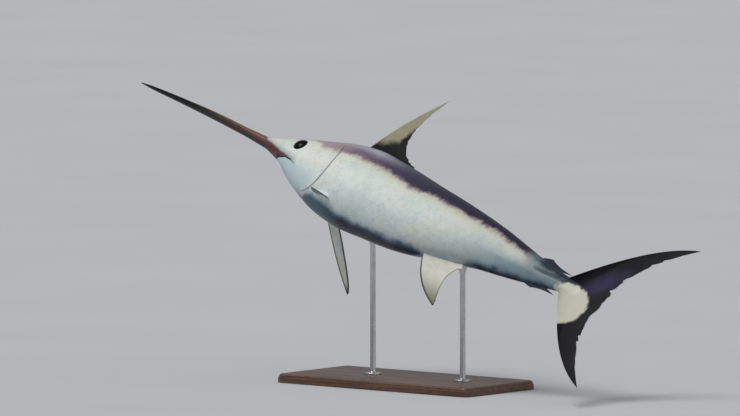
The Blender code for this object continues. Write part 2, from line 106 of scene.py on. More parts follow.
def make_mesh(name, points, faces, material, attributes=(), sharp_from=None):
    """A smooth mesh object, with vector attributes that its material reads, and with edges
    that stay sharp where they turn by more than so many degrees."""
    mesh = bpy.data.meshes.new(name)
    mesh.from_pydata([tuple(point) for point in points], [], [tuple(face) for face in faces])
    for key, values in dict(attributes).items():
        layer = mesh.attributes.new(key, "FLOAT_VECTOR", "POINT")
        layer.data.foreach_set("vector", np.asarray(values, np.float32).ravel())
    mesh.shade_smooth()
    if sharp_from:
        mesh.set_sharp_from_angle(angle=math.radians(sharp_from))
    mesh.materials.append(material)
    thing = bpy.data.objects.new(name, mesh)
    bpy.context.scene.collection.objects.link(thing)
    return thing


# Matt painted screed: pale, no gloss, with the faint cloudiness of a trowelled coat.
SCREED_CLOUD = 0.900
screed, tree, shader = surface("painted_screed", {"Roughness": 0.85, "Specular IOR Level": 0.2})
spot = add_node(tree, "TexCoord").outputs["Object"]
cloud = add_node(tree, "TexNoise", {"Vector": spot, "Scale": 1 / SCREED_CLOUD, "Detail": 3.0})
tone = add_node(tree, "ValToRGB", [cloud], ramp=[(0.3, "#BFC0C3"), (0.7, "#C2C3C6")])
give(shader, {"Base Color": tone})

floor_corners = [(x * FLOOR_REACH, y * FLOOR_REACH, 0.0)
                 for x, y in ((-1, -1), (1, -1), (1, 1), (-1, 1))]
floor = make_mesh("screed_floor", floor_corners, [(0, 1, 2, 3)], screed)

view_forward = Vector((-math.sin(CAMERA_AZIMUTH) * math.cos(CAMERA_ELEVATION),
                       math.cos(CAMERA_AZIMUTH) * math.cos(CAMERA_ELEVATION),
                       -math.sin(CAMERA_ELEVATION)))
view_right = Vector((math.cos(CAMERA_AZIMUTH), math.sin(CAMERA_AZIMUTH), 0.0))
straight_up = Vector((0.0, 0.0, 1.0))

# Strength, spread in degrees, and the way to the light
SOFT_LIGHTS = {"key": (1.60, 32, -0.60 * view_right - 0.22 * view_forward + 1.45 * straight_up),
               "fill": (0.40, 70, 0.90 * view_right - 0.60 * view_forward + 0.55 * straight_up)}
for name, (strength, spread, towards) in SOFT_LIGHTS.items():
    lamp = bpy.data.lights.new(name, "SUN")
    lamp.energy = strength
    lamp.angle = math.radians(spread)
    light = bpy.data.objects.new(name, lamp)
    light.rotation_euler = (-towards).to_track_quat("-Z", "Y").to_euler()
    bpy.context.scene.collection.objects.link(light)

sky = bpy.data.worlds.new("even_sky")
sky.use_nodes = True
bpy.context.scene.world = sky
tree = sky.node_tree
direction = add_node(tree, "TexCoord").outputs["Generated"]
height = add_node(tree, "SeparateXYZ", [direction]).outputs["Z"]
rise = add_node(tree, "MapRange", [height, -0.10, 1.0])
glow = add_node(tree, "ValToRGB", [rise], ramp=[
    (0.0, "#AEB0B4"), (0.12, "#C4C6CA"), (0.5, "#E4E6EA"), (1.0, "#F6F7FA")])
give(tree.nodes["Background"], {"Color": glow, "Strength": SKY_STRENGTH})

camera_data = bpy.data.cameras.new("long_lens")
camera_data.sensor_width = SENSOR_WIDTH
camera_data.lens = SENSOR_WIDTH * CAMERA_DISTANCE / (PHOTO_WIDTH * METRES_PER_PIXEL)
camera_data.clip_end = SIGHT_REACH
camera = bpy.data.objects.new("long_lens", camera_data)
camera.location = CAMERA_AIM - view_forward * CAMERA_DISTANCE
camera.rotation_euler = view_forward.to_track_quat("-Z", "Y").to_euler()
bpy.context.scene.collection.objects.link(camera)
bpy.context.scene.camera = camera
bpy.context.scene.view_settings.view_transform = "Standard"


# The base: one thick walnut plank with rounded corners, a cove and bead cut round its top edge,
# sanded and finished in satin varnish. It stands on the floor on its own flat underside.

CORNER_RADIUS = 0.030
LEAST_CORNER_RADIUS = 0.004
CORNER_STEPS = 18
EDGE_SHARP_FROM = 35
# How far each ring of the edge moulding stands in from the side, and its height from the floor
EDGE_MOULDING = [(0.0020, 0.0000), (0.0004, 0.0008), (0.0000, 0.0024), (0.0000, 0.0200),
                 (0.0004, 0.0212), (0.0014, 0.0219), (0.0030, 0.0222), (0.0042, 0.0232),
                 (0.0047, 0.0252), (0.0050, 0.0282), (0.0062, 0.0308), (0.0084, 0.0330),
                 (0.0112, 0.0345), (0.0142, 0.0353), (0.0165, 0.0356), (0.0185, 0.0360)]
base_low, base_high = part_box("stand_base")


def rounded_outline(inset, height):
    """A rectangle with round corners, so far in from the base's own sides."""
    radius = max(CORNER_RADIUS - inset, LEAST_CORNER_RADIUS)
    ring = []
    for turn, (x, y) in enumerate(((base_high.x, base_high.y), (base_low.x, base_high.y),
                                   (base_low.x, base_low.y), (base_high.x, base_low.y))):
        centre_x = x - math.copysign(inset + radius, x)
        centre_y = y - math.copysign(inset + radius, y)
        for step in range(CORNER_STEPS + 1):
            angle = math.pi / 2 * (turn + step / CORNER_STEPS)
            ring.append((centre_x + radius * math.cos(angle),
                         centre_y + radius * math.sin(angle), height))
    return ring


def ring_faces(ring_count, sides, first=0):
    """Quads between closed rings of points, ring after ring."""
    ring = first + np.arange(ring_count * sides).reshape(ring_count, sides)
    beside = np.roll(ring, -1, axis=1)
    return np.stack([ring[:-1], beside[:-1], beside[1:], ring[1:]], axis=-1).reshape(-1, 4).tolist()


def lidded_rings(ring_count, sides, first=0):
    """The faces of a solid made of rings, with a flat lid at each end."""
    last = first + (ring_count - 1) * sides
    lids = [list(range(first, first + sides))[::-1], list(range(last, last + sides))]
    return ring_faces(ring_count, sides, first) + lids


# Black walnut, quarter sawn and varnished: chocolate brown with darker growth lines along the
# plank, short open pores, and a satin film that softens every highlight. The pores are drawn
# 2.4 mm wide, coarser than real, so that they show.
GROWTH_LINE = 0.007
PORE_WIDTH = 0.0024
FIGURE_SIZE = 0.120
walnut, tree, shader = surface("satin_black_walnut", {"IOR": 1.50, "Coat Weight": 0.35,
                                                      "Coat Roughness": 0.22})
spot = add_node(tree, "TexCoord").outputs["Object"]
along_grain = add_node(tree, "Mapping", {"Vector": spot, "Scale": (0.045, 1.0, 1.0)})
figure = add_node(tree, "TexNoise", {"Vector": along_grain, "Scale": 1 / FIGURE_SIZE,
                                     "Detail": 2.0, "Distortion": 0.6})
bent = add_node(tree, "VectorMath", [along_grain, figure.outputs["Color"], (0.05, 0.05, 0.05)],
                operation="MULTIPLY_ADD")
growth = add_node(tree, "TexNoise", {"Vector": bent, "Scale": 1 / GROWTH_LINE, "Detail": 4.0,
                                     "Roughness": 0.62})
long_pores = add_node(tree, "Mapping", {"Vector": spot, "Scale": (0.07, 1.0, 1.0)})
pores = add_node(tree, "TexNoise", {"Vector": long_pores, "Scale": 1 / PORE_WIDTH, "Detail": 1.0})
pore_mask = add_node(tree, "MapRange", [pores, 0.30, 0.42])
grain = add_node(tree, "ValToRGB", [growth], ramp=[
    (0.25, "#3A2418"), (0.45, "#553726"), (0.60, "#6A4830"), (0.80, "#4A2F20")])
tone = add_node(tree, "Mix", [pore_mask, "#241610", grain], data_type="RGBA")
rough = add_node(tree, "MapRange", [growth, 0.3, 0.7, 0.48, 0.36])
relief = add_node(tree, "Bump", {"Height": pore_mask, "Strength": 0.25, "Distance": 0.0003})
give(shader, {"Base Color": tone, "Roughness": rough, "Normal": relief})

rings = [rounded_outline(inset, height) for inset, height in EDGE_MOULDING]
base = make_mesh("walnut_base", np.concatenate(rings), lidded_rings(len(rings), len(rings[0])),
                 walnut, sharp_from=EDGE_SHARP_FROM)
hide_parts("stand_base")
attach(base, "root")


# The two rods: stainless steel bar turned on a lathe, each with a thin foot flange held to the
# base by three socket screws, and a cup on top that follows the belly's curve.

ROD_RADIUS, CUP_RADIUS = 0.011, 0.021
CUP_DEPTH = 0.052
ROD_SIDES, SCREW_SIDES = 72, 24
ROD_SHARP_FROM = 38
SCREW_RADIUS, SCREW_CIRCLE = 0.0042, 0.024
SCREW_COUNT, FIRST_SCREW_TURN = 3, 0.08
SOCKET_FLUTES, SOCKET_DEPTH = 6, 0.14
SIGHT_FROM = 0.05
# Each profile as shares of its own radius, and heights over the foot or over the cup's lower end
FLANGE_EDGE = [(0.985, 0.0), (1.0, 0.0006), (1.0, 0.0044), (0.985, 0.0054), (0.93, 0.0066),
               (0.90, 0.0070)]
FOOT_FILLET = [(1.55, 0.0070), (1.25, 0.0078), (1.08, 0.0096), (1.0, 0.0125)]
CUP_NECK = [(1.0, 0.0), (1.06, 0.004), (1.30, 0.012), (1.62, 0.021)]
CUP_WALL = [(0.985, 0.027), (1.0, 0.031)]
SCREW_DOME = [(1.0, 0.0040), (1.0, 0.0071), (0.92, 0.0076), (0.55, 0.0081), (0.45, 0.0081),
              (0.42, 0.0062)]
# Rings of the cup's seat as shares of its radius, and how far each lies under the belly
CUP_SEAT = [(1.0, 0.0016), (0.93, 0.0008), (0.60, 0.0008), (0.30, 0.0008)]

# Brushed stainless steel: grey metal whose turning marks run round the bar and blur its
# highlight across them. The marks are drawn 0.5 mm apart, coarser than real, so that they show.
TURNING_MARK = 0.0005
FINGER_SMEAR = 0.060
steel, tree, shader = surface("brushed_stainless_steel", {"Metallic": 1.0})
spot = add_node(tree, "TexCoord").outputs["Object"]
across_marks = add_node(tree, "Mapping", {"Vector": spot, "Scale": (0.06, 0.06, 1.0)})
marks = add_node(tree, "TexNoise", {"Vector": across_marks, "Scale": 1 / TURNING_MARK,
                                    "Detail": 2.0})
smear = add_node(tree, "TexNoise", {"Vector": spot, "Scale": 1 / FINGER_SMEAR, "Detail": 3.0})
tone = add_node(tree, "ValToRGB", [smear], ramp=[(0.3, "#B7B8B9"), (0.7, "#CDCECF")])
rough = add_node(tree, "MapRange", [marks, 0.3, 0.7, 0.20, 0.34])
relief = add_node(tree, "Bump", {"Height": marks, "Strength": 0.15, "Distance": 0.0002})
give(shader, {"Base Color": tone, "Roughness": rough, "Normal": relief})

belly_faces = []
for node in ("trunk_front", "trunk_rear"):
    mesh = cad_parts[node].data
    belly_faces.append(BVHTree.FromPolygons([v.co for v in mesh.vertices],
                                            [p.vertices for p in mesh.polygons]))


def body_under(x, y):
    """Height at which a line straight up from just over the base first meets the fish's belly."""
    start = Vector((x, y, SIGHT_FROM))
    hits = [faces.ray_cast(start, straight_up)[0] for faces in belly_faces]
    return min(hit.z for hit in hits if hit is not None)


def circle(centre, radius, height, sides):
    """Points round an upright axis."""
    turn = math.tau * np.arange(sides) / sides
    return np.stack([centre[0] + radius * np.cos(turn), centre[1] + radius * np.sin(turn),
                     np.full(sides, height)], axis=-1)


for node, piece in (("stand_rod_front", "steel_rod_front"), ("stand_rod_rear", "steel_rod_rear")):
    rod_low, rod_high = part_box(node)
    axis = (rod_low.x + rod_high.x) / 2, (rod_low.y + rod_high.y) / 2
    foot, cup_start = rod_low.z, body_under(*axis) - CUP_DEPTH
    rings = [circle(axis, radius * share, start + height, ROD_SIDES)
             for radius, start, profile in (((rod_high.x - rod_low.x) / 2, foot, FLANGE_EDGE),
                                            (ROD_RADIUS, foot, FOOT_FILLET),
                                            (ROD_RADIUS, cup_start, CUP_NECK),
                                            (CUP_RADIUS, cup_start, CUP_WALL))
             for share, height in profile]
    for share, gap in CUP_SEAT:
        seat = circle(axis, CUP_RADIUS * share, 0.0, ROD_SIDES)
        seat[:, 2] = [body_under(x, y) - gap for x, y, _ in seat]
        rings.append(seat)
    faces = lidded_rings(len(rings), ROD_SIDES)
    for screw in range(SCREW_COUNT):
        turn = math.tau * (screw / SCREW_COUNT + FIRST_SCREW_TURN)
        screw_axis = (axis[0] + SCREW_CIRCLE * math.cos(turn),
                      axis[1] + SCREW_CIRCLE * math.sin(turn))
        flutes = np.cos(SOCKET_FLUTES * math.tau * np.arange(SCREW_SIDES) / SCREW_SIDES)
        faces += lidded_rings(len(SCREW_DOME), SCREW_SIDES, sum(map(len, rings)))
        for share, height in SCREW_DOME:
            in_socket = 1 - SOCKET_DEPTH + SOCKET_DEPTH * flutes if share < 0.5 else 1.0
            rings.append(circle(screw_axis, SCREW_RADIUS * share * in_socket, foot + height,
                                SCREW_SIDES))
    rod = make_mesh(piece, np.vstack(rings), faces, steel, sharp_from=ROD_SHARP_FROM)
    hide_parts(node)
    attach(rod, "root")


# The skin: one unbroken surface from the tip of the sword over head, jaw, gill covers, trunk and
# keeled stalk into the root of the tail. In life it is bare, slimy skin with no scales; the
# model's is cast in resin, painted in thin coats of silver, violet black and brown, and lacquered.

PITCH = math.radians(17.6)
BANK = math.radians(47.5)
BALANCE_X = 1.40
AXIS_HEIGHT = 0.692
BILL_END = 0.660
JAW_TIP = 0.757
MOUTH_CORNER = 0.893
JAW_HINGE = 0.900
GILL_EDGE = 1.056
SKIN_END = 2.325
SWORD_POWER, SECTION_POWER = 1.55, 2.25

# Distance from the sword's tip, height of the back, height of the belly, half width
BODY_STATIONS = np.array([
    (0.600, 0.0155, -0.0165, 0.0245), (0.660, 0.0200, -0.0200, 0.0270),
    (0.700, 0.0305, -0.0290, 0.0320), (0.755, 0.0530, -0.0465, 0.0430),
    (0.843, 0.0885, -0.0960, 0.0640), (0.930, 0.1155, -0.1350, 0.0830),
    (1.030, 0.1490, -0.1700, 0.1030), (1.150, 0.1715, -0.1900, 0.1175),
    (1.300, 0.1650, -0.1865, 0.1165), (1.480, 0.1475, -0.1745, 0.1030),
    (1.660, 0.1310, -0.1370, 0.0830), (1.840, 0.1080, -0.0980, 0.0600),
    (2.000, 0.0760, -0.0755, 0.0420), (2.130, 0.0490, -0.0520, 0.0300),
    (2.225, 0.0370, -0.0360, 0.0240), (2.262, 0.0345, -0.0345, 0.0150),
    (2.292, 0.0365, -0.0365, 0.0062), (2.325, 0.0350, -0.0350, 0.0012)])
# Distance from the sword's tip, height of its middle, half thickness, half width
SWORD_STATIONS = np.array([
    (0.000, 0.0000, 0.0016, 0.0028), (0.050, 0.0012, 0.0046, 0.0108),
    (0.150, 0.0042, 0.0078, 0.0172), (0.250, 0.0062, 0.0100, 0.0214),
    (0.350, 0.0072, 0.0122, 0.0252), (0.450, 0.0062, 0.0138, 0.0264),
    (0.560, 0.0030, 0.0154, 0.0246), (0.660, 0.0000, 0.0200, 0.0270)])

fish_turn = Matrix.Rotation(PITCH, 3, "Y") @ Matrix.Rotation(-BANK, 3, "X")
fish_place = Vector((-BALANCE_X * math.cos(PITCH), 0.0,
                     AXIS_HEIGHT + BALANCE_X * math.sin(PITCH)))


def to_room(points):
    """Points drawn in the fish's own frame, set where the pose over the stand puts them."""
    return points @ np.array(fish_turn).T + np.array(fish_place)


def through(stations, x, column):
    """The smooth curve through one column of a list of stations."""
    places, values = stations[:, 0], stations[:, column]
    spans = np.diff(places)
    chords = np.diff(values) / spans
    slopes = np.empty_like(values)
    slopes[0], slopes[-1] = chords[0], chords[-1]
    slopes[1:-1] = (chords[:-1] * spans[1:] + chords[1:] * spans[:-1]) / (spans[1:] + spans[:-1])
    x = np.clip(x, places[0], places[-1])
    low = np.clip(np.searchsorted(places, x, side="right") - 1, 0, len(places) - 2)
    t = (x - places[low]) / spans[low]
    start = (2 * t ** 3 - 3 * t ** 2 + 1) * values[low]
    end = (3 * t ** 2 - 2 * t ** 3) * values[low + 1]
    bend = (t ** 3 - 2 * t ** 2 + t) * slopes[low] + (t ** 3 - t ** 2) * slopes[low + 1]
    return start + end + bend * spans[low]


def smooth(value, low, high):
    """0 below low, 1 above high, and an even S between them."""
    t = np.clip((value - low) / (high - low), 0.0, 1.0)
    return t * t * (3 - 2 * t)


def between(value, start, full, fade, end):
    """0 before start and after end, 1 from full to fade."""
    return smooth(value, start, full) * (1 - smooth(value, fade, end))


def hump(distance, half_width):
    """1 at no distance, falling away as a bell."""
    return np.exp(-(distance / half_width) ** 2)


def ripple(points, wavelength, seed):
    """Soft unevenness between -1 and 1, from waves laid in random directions."""
    draw = np.random.default_rng(seed)
    total = np.zeros(points.shape[:-1])
    for _ in range(14):
        ray = draw.normal(size=3)
        ray *= math.tau / wavelength * draw.uniform(0.6, 1.6) / np.linalg.norm(ray)
        total += np.sin(points @ ray + draw.uniform(0, math.tau))
    return total / 7


def body_section(x):
    """Half width, middle height, half height and squareness of the section at x."""
    into_head = smooth(x, 0.600, 0.705)
    back, belly, body_width = (through(BODY_STATIONS, x, column) for column in (1, 2, 3))
    sword_middle, sword_half, sword_width = (through(SWORD_STATIONS, x, column)
                                             for column in (1, 2, 3))
    half_width = sword_width * (1 - into_head) + body_width * into_head
    middle = sword_middle * (1 - into_head) + (back + belly) / 2 * into_head
    half_height = sword_half * (1 - into_head) + (back - belly) / 2 * into_head
    power = SWORD_POWER + (SECTION_POWER - SWORD_POWER) * np.clip(x / BILL_END, 0, 1) ** 3
    return half_width, middle, half_height, power


def section_point(x, angle):
    """A point of the plain body; the angle is 0 on the back and 180 degrees on the belly."""
    half_width, middle, half_height, power = body_section(x)
    cosine = np.cos(angle)
    across = np.abs(np.sin(angle)) ** (2 / power) * half_width
    rise = np.sign(cosine) * np.abs(cosine) ** (2 / power) * half_height
    return np.stack(np.broadcast_arrays(x, across, middle + rise), axis=-1)


def mouth_height(x):
    """The line of the mouth, from under the sword back to the jaw's hinge."""
    drop = 0.0160 * (x - BILL_END) / (JAW_TIP - BILL_END)
    return -0.0225 - drop - 0.5 * np.maximum(0.0, x - 0.84) ** 1.5


GILL_TOP, GILL_SPAN = 48, 115


def down_gill(angle):
    """How far down the gill cover an angle round the body lies, from 0 to 1."""
    return np.clip((np.degrees(angle) - GILL_TOP) / GILL_SPAN, 0, 1)


def gill_edge(angle):
    """Where the gill cover's free edge lies, for an angle round the body."""
    t = down_gill(angle)
    upper = GILL_EDGE - 0.030 * (1 - np.minimum(t, 0.45) / 0.45) ** 2
    return upper - 0.088 * (np.maximum(t - 0.45, 0) / 0.55) ** 2.2


# The skin's rows of points run round the fish. They stand closest on the head and follow the
# gill cover's edge; on each row, half of the columns go from back to lip, then in and out of the
# mouth, then down the jaw.
GILL_STEP = 0.0005
rows = np.concatenate([
    0.040 * np.linspace(0, 1, 26) ** 1.7,
    np.arange(0.0430, BILL_END, 0.0045),
    np.arange(BILL_END, JAW_TIP - 0.001, 0.0015),
    np.arange(JAW_TIP - 0.001, JAW_TIP + 0.009, 0.0005),
    np.arange(JAW_TIP + 0.009, JAW_HINGE, 0.0014),
    np.arange(JAW_HINGE, GILL_EDGE - 8 * GILL_STEP, 0.0017),
    np.arange(GILL_EDGE - 8 * GILL_STEP, GILL_EDGE + 16 * GILL_STEP, GILL_STEP),
    np.arange(GILL_EDGE + 16 * GILL_STEP, 1.160, 0.0020),
    np.arange(1.160, 2.040, 0.0036),
    np.arange(2.040, SKIN_END, 0.0024)])
rows = rows[np.insert(np.diff(rows) > GILL_STEP / 2, 0, True)]
row = rows[:, None]
UPPER, SLIT, LOWER = 90, 19, 52
LIPS_CLOSED, LIPS_OPEN = 0.0006, 0.0015

mouth_row = np.clip(row, BILL_END, JAW_HINGE)
palate = mouth_height(mouth_row)
_, middle, half_height, power = body_section(mouth_row)
fall = np.clip((middle - palate) / half_height, 0, 0.94)
lip_angle = math.pi - np.arccos(fall ** (power / 2))
mouth_open = between(row, JAW_TIP + 0.0005, JAW_TIP + 0.005, 0.872, MOUTH_CORNER)
lip_gap = (LIPS_CLOSED + (LIPS_OPEN - LIPS_CLOSED) * mouth_open) / half_height
slit_share = np.linspace(0, 1, SLIT + 2)[1:-1]
angle = np.concatenate([
    (lip_angle - lip_gap) * np.linspace(0, 1, UPPER),
    lip_angle - lip_gap + 2 * lip_gap * slit_share,
    lip_angle + lip_gap + (math.pi - lip_angle - lip_gap) * np.linspace(0, 1, LOWER)], axis=1)
column = np.arange(UPPER + SLIT + LOWER)[None, :]
in_slit = (column >= UPPER) & (column < UPPER + SLIT)
below_mouth = column >= UPPER + SLIT

# The tip of the horn sheath is drawn out a little past the bone in it
HORN_TIP, HORN_TIP_FROM = 0.009, 0.30
follows_gill = between(row, 0.880, 1.044, 1.072, 1.255)
x = row + follows_gill * (gill_edge(angle) - GILL_EDGE)
_, y, z = np.moveaxis(section_point(x, angle), -1, 0)
x = x - HORN_TIP * np.maximum(0, 1 - x / HORN_TIP_FROM) ** 2

# Ahead of the jaw the head is flat underneath; the jaw starts narrow and blunt
JAW_GAP_FRONT, JAW_GAP_REAR = 0.0030, 0.0014
MOUTH_DEPTH, MOUTH_CORE = 0.020, 0.0015
SLIT_FROM = 0.700
has_jaw = smooth(row, JAW_TIP - 0.0005, JAW_TIP + 0.0045)
behind_hinge = smooth(row, 0.884, JAW_HINGE)
narrow = np.minimum(1.0, 0.16 + 0.84 * (np.maximum(row - JAW_TIP, 0) / 0.060) ** 0.6)
jaw_gap = JAW_GAP_FRONT + (JAW_GAP_REAR - JAW_GAP_FRONT) * (row - JAW_TIP) / (JAW_HINGE - JAW_TIP)
jaw_z = np.minimum(z, (palate - jaw_gap) * (1 - behind_hinge) + z * behind_hinge)
head_z = np.maximum(z, palate)
by_mouth = (row > BILL_END) & (row < JAW_HINGE)
z = np.where(by_mouth & below_mouth, head_z * (1 - has_jaw) + jaw_z * has_jaw, z)
z = np.where(by_mouth & ~below_mouth & ~in_slit, head_z, z)
y = np.where(by_mouth & below_mouth, y * (1 + has_jaw * (narrow - 1)), y)

# The slit of the mouth runs in from the upper lip and out again to the lower one
slit = slice(UPPER, UPPER + SLIT)
upper_y, upper_z = y[:, UPPER - 1, None], z[:, UPPER - 1, None]
lower_y, lower_z = y[:, UPPER + SLIT, None], z[:, UPPER + SLIT, None]
mouth_floor = np.maximum(MOUTH_CORE, lower_y - MOUTH_DEPTH * mouth_open)
deep_y = (upper_y + lower_y) / 2 * (1 - mouth_open) + mouth_floor * mouth_open
deep_z = (upper_z + lower_z) / 2
for values, upper, deep, lower in ((y, upper_y, deep_y, lower_y), (z, upper_z, deep_z, lower_z)):
    folded = np.where(slit_share < 0.5, upper + (deep - upper) * slit_share * 2,
                      deep + (lower - deep) * (slit_share * 2 - 1))
    values[:, slit] = np.where(by_mouth & (row > SLIT_FROM), folded, values[:, slit])


def both_sides(values, flip=1):
    """Each row's values down the right side and, mirrored, up the left."""
    return np.concatenate([values, flip * values[:, -2:0:-1]], axis=1)


skin = np.stack([both_sides(x), both_sides(y, -1), both_sides(z)], axis=-1)
side = both_sides(np.ones(column.shape), -1)
angle, in_slit, below_mouth = map(both_sides, (angle, in_slit, below_mouth))
outward = np.cross(np.gradient(skin, axis=0),
                   np.roll(skin, -1, axis=1) - np.roll(skin, 1, axis=1))
outward /= np.linalg.norm(outward, axis=-1, keepdims=True) + 1e-12
plain_x, plain_y, _ = np.moveaxis(skin, -1, 0)
half_width, middle, half_height, _ = body_section(plain_x)
girth = (half_width + half_height) / 2
inside_mouth = in_slit * mouth_open

# The gill cover: a plate that thickens to its free edge, with a slit behind it
PLATE_THICKNESS, PLATE_FRONT_STEP = 0.0026, 0.0008
GILL_SLIT_DEPTH, GILL_SLIT_WIDTH = 0.0012, 0.0040
gill_share = down_gill(angle)
gill_rim = between(gill_share, 0.0, 0.16, 0.90, 1.0)
gill_front = 0.965 - 0.052 * np.sin(math.pi * gill_share) ** 0.8 - 0.012 * gill_share
behind = plain_x - gill_edge(angle)
plate_share = np.clip((plain_x - gill_front) / (gill_edge(angle) - gill_front), 0, 1)
plate = PLATE_THICKNESS * plate_share ** 1.8 + PLATE_FRONT_STEP * smooth(plate_share, 0, 0.5)
groove = GILL_SLIT_DEPTH * hump(behind - 0.0008, GILL_SLIT_WIDTH)
lift = np.where(behind > 1e-6, -groove, plate) * gill_rim

# The cheek's shallow groove, the folds of the throat, and the lips
CHEEK_GROOVE, THROAT_FOLD, THROAT_FOLD_WIDTH, LIP_SWELL = 0.0007, 0.0008, 0.011, 0.0013
cheek_line = plain_x - (0.936 + 0.020 * np.cos(2.2 * (angle - 1.75)))
lift -= CHEEK_GROOVE * hump(cheek_line, 0.0035) * between(angle, 1.05, 1.3, 2.1, 2.4)
arc = (math.pi - angle) * girth
throat = smooth(plain_x, 0.850, 0.880) * (1 - smooth(behind, -0.016, -0.004))
lift += THROAT_FOLD * np.sin(math.tau * arc / THROAT_FOLD_WIDTH + 14 * plain_x) * throat * between(
    arc, 0.006, 0.014, 0.045, 0.062)
from_lip = np.abs(angle - lip_angle) * girth
lips = between(row, 0.712, 0.730, 0.878, 0.900) * (1 - inside_mouth)
lift += LIP_SWELL * hump(from_lip - 0.0030, 0.0024) * lips

# The low swellings at the fins' roots: height, half width, where each starts, is full, fades and
# ends, and the points that it may lift
PECTORAL_X, PECTORAL_ANGLE = 1.112, math.radians(138)
SWELLINGS = [
    (0.0080, 0.0170, (0.990, 1.070, 1.250, 1.305), angle < 1),
    (0.0080, 0.0120, (1.592, 1.640, 1.770, 1.812), angle > 2),
    (0.0030, 0.0050, (2.040, 2.062, 2.145, 2.172), True)]
for height, reach, places, there in SWELLINGS:
    lift += height * hump(plain_y, reach) * between(plain_x, *places) * there
lift += 0.0095 * hump((angle - PECTORAL_ANGLE) * girth, 0.0125) * between(
    plain_x, PECTORAL_X - 0.046, PECTORAL_X - 0.018, PECTORAL_X + 0.018, PECTORAL_X + 0.050)

# The eye's soft rim and socket, and the two nostrils ahead of it
EYE_X, EYE_ANGLE = 0.843, math.radians(74)
EYE_RADIUS, EYE_DEPTH, EYE_SUNK = 0.0330, 0.0200, 0.0112
NOSTRILS = ((0.789, 70, 0.0034), (0.797, 68, 0.0042))


def skin_frame(x, angle, side):
    """A point of the plain body and the direction straight out of it."""
    step = 0.002
    here, ahead, after, below, above = section_point(
        np.array([x, x + step, x - step, x, x]),
        np.array([angle, angle, angle, angle + step, angle - step]))
    out = np.cross(ahead - after, below - above)
    flip = np.array([1.0, side, 1.0])
    return here * flip, out / np.linalg.norm(out) * flip


for eye_side in (-1, 1):
    eye_point, eye_out = skin_frame(EYE_X, EYE_ANGLE, eye_side)
    offset = skin - eye_point
    depth = offset @ eye_out
    from_eye = np.sqrt(np.maximum((offset ** 2).sum(-1) - depth ** 2, 0))
    near = (side == eye_side) * (np.abs(depth) < 0.03)
    lift += near * (0.0016 * hump(from_eye - 0.0335, 0.0042)
                    - 0.0022 * hump(from_eye - 0.0265, 0.0030)
                    - 0.0060 * (1 - smooth(from_eye, 0.016, 0.025)))
for nostril_x, nostril_angle, size in NOSTRILS:
    from_nostril = np.hypot(plain_x - nostril_x, (angle - math.radians(nostril_angle)) * girth)
    lift -= 0.0040 * (1 - smooth(from_nostril, 0.0012, size)) * (1 - in_slit)
    lift += 0.0006 * hump(from_nostril - size * 1.25, 0.0014)

# Slack and swelling of the flesh
swell = 0.0007 * ripple(skin, 0.190, 11) + 0.00025 * ripple(skin, 0.045, 12)
lift += swell * between(plain_x, 0.70, 0.95, 2.0, 2.3)
skin = skin + outward * (lift * (1 - inside_mouth))[..., None]
skin_x = skin[..., 0]

# The wide keel on each side of the stalk
KEEL_START, KEEL_END, KEEL_REACH, KEEL_HALF_HEIGHT = 2.080, 2.232, 0.017, 0.0100
keel_share = np.clip((skin_x - KEEL_START) / (KEEL_END - KEEL_START), 0, 1)
keel_out = KEEL_REACH * np.sin(math.pi * keel_share) ** 0.8
keel_blade = np.clip(1 - np.abs(skin[..., 2] - middle) / KEEL_HALF_HEIGHT, 0, 1) ** 1.4
skin[..., 1] += side * keel_out * keel_blade * (np.abs(skin[..., 1]) > 0.003)

# The edges of the dark back, the dark belly and the brown horn of the sword, as degrees round
# the body at places along it. The paint follows how far inside them a point lies, in metres.
BACK_EDGE = [(0.600, 14), (0.720, 30), (0.800, 33), (0.880, 38), (0.925, 50), (0.950, 64),
             (1.012, 68), (1.086, 68), (1.144, 69), (1.203, 71), (1.257, 69), (1.306, 69),
             (1.360, 71), (1.400, 70), (1.457, 72), (1.497, 67), (1.541, 62), (1.604, 68),
             (1.648, 65), (1.702, 65), (1.751, 63), (1.805, 65), (1.854, 62), (1.913, 62),
             (1.971, 63), (2.025, 64), (2.060, 67), (2.100, 73), (2.160, 80), (2.225, 92),
             (2.255, 120), (2.280, 190), (2.400, 190)]
BELLY_EDGE = [(0.600, 190), (0.900, 190), (0.985, 180), (1.012, 158), (1.045, 150), (1.085, 150),
              (1.196, 159), (1.324, 162), (1.474, 162), (1.566, 164), (1.602, 174), (1.630, 198),
              (1.778, 198), (1.812, 172), (1.860, 160), (1.961, 152), (2.099, 146), (2.170, 150),
              (2.220, 160), (2.260, 190), (2.400, 190)]
HORN_EDGE = [(0.640, -30), (0.655, 20), (0.662, 45), (0.679, 88), (0.707, 98), (0.730, 110),
             (0.771, 117), (0.807, 113), (0.844, 113), (0.876, 114), (0.900, 130)]
HORN_END = 0.862


def past_edge(edges):
    """How far below such an edge each point of the skin lies."""
    places, degrees = np.array(edges).T
    return (angle - np.radians(np.interp(skin_x, places, degrees))) * girth


degrees_round = np.degrees(angle)
in_back = -past_edge(BACK_EDGE)
in_belly = np.minimum(past_edge(BELLY_EDGE), behind * 0.8 + 0.004)
in_horn = np.minimum(past_edge(HORN_EDGE), (HORN_END - skin_x) * 0.5)
of_jaw = smooth(row, JAW_TIP + 0.0040, JAW_TIP + 0.0070) * (
    below_mouth | (in_slit & np.roll(below_mouth, -SLIT // 2, axis=1)))
in_horn = in_horn * (1 - of_jaw) - 0.05 * of_jaw
# Painted shade in the slit behind the gill cover: a grey line, partly the slit's own colour
gill_slit_shade = hump(behind, np.where(behind > 0, 0.0022, 0.0006)) * gill_rim * (
    1 - 0.75 * smooth(degrees_round, 112, 142))
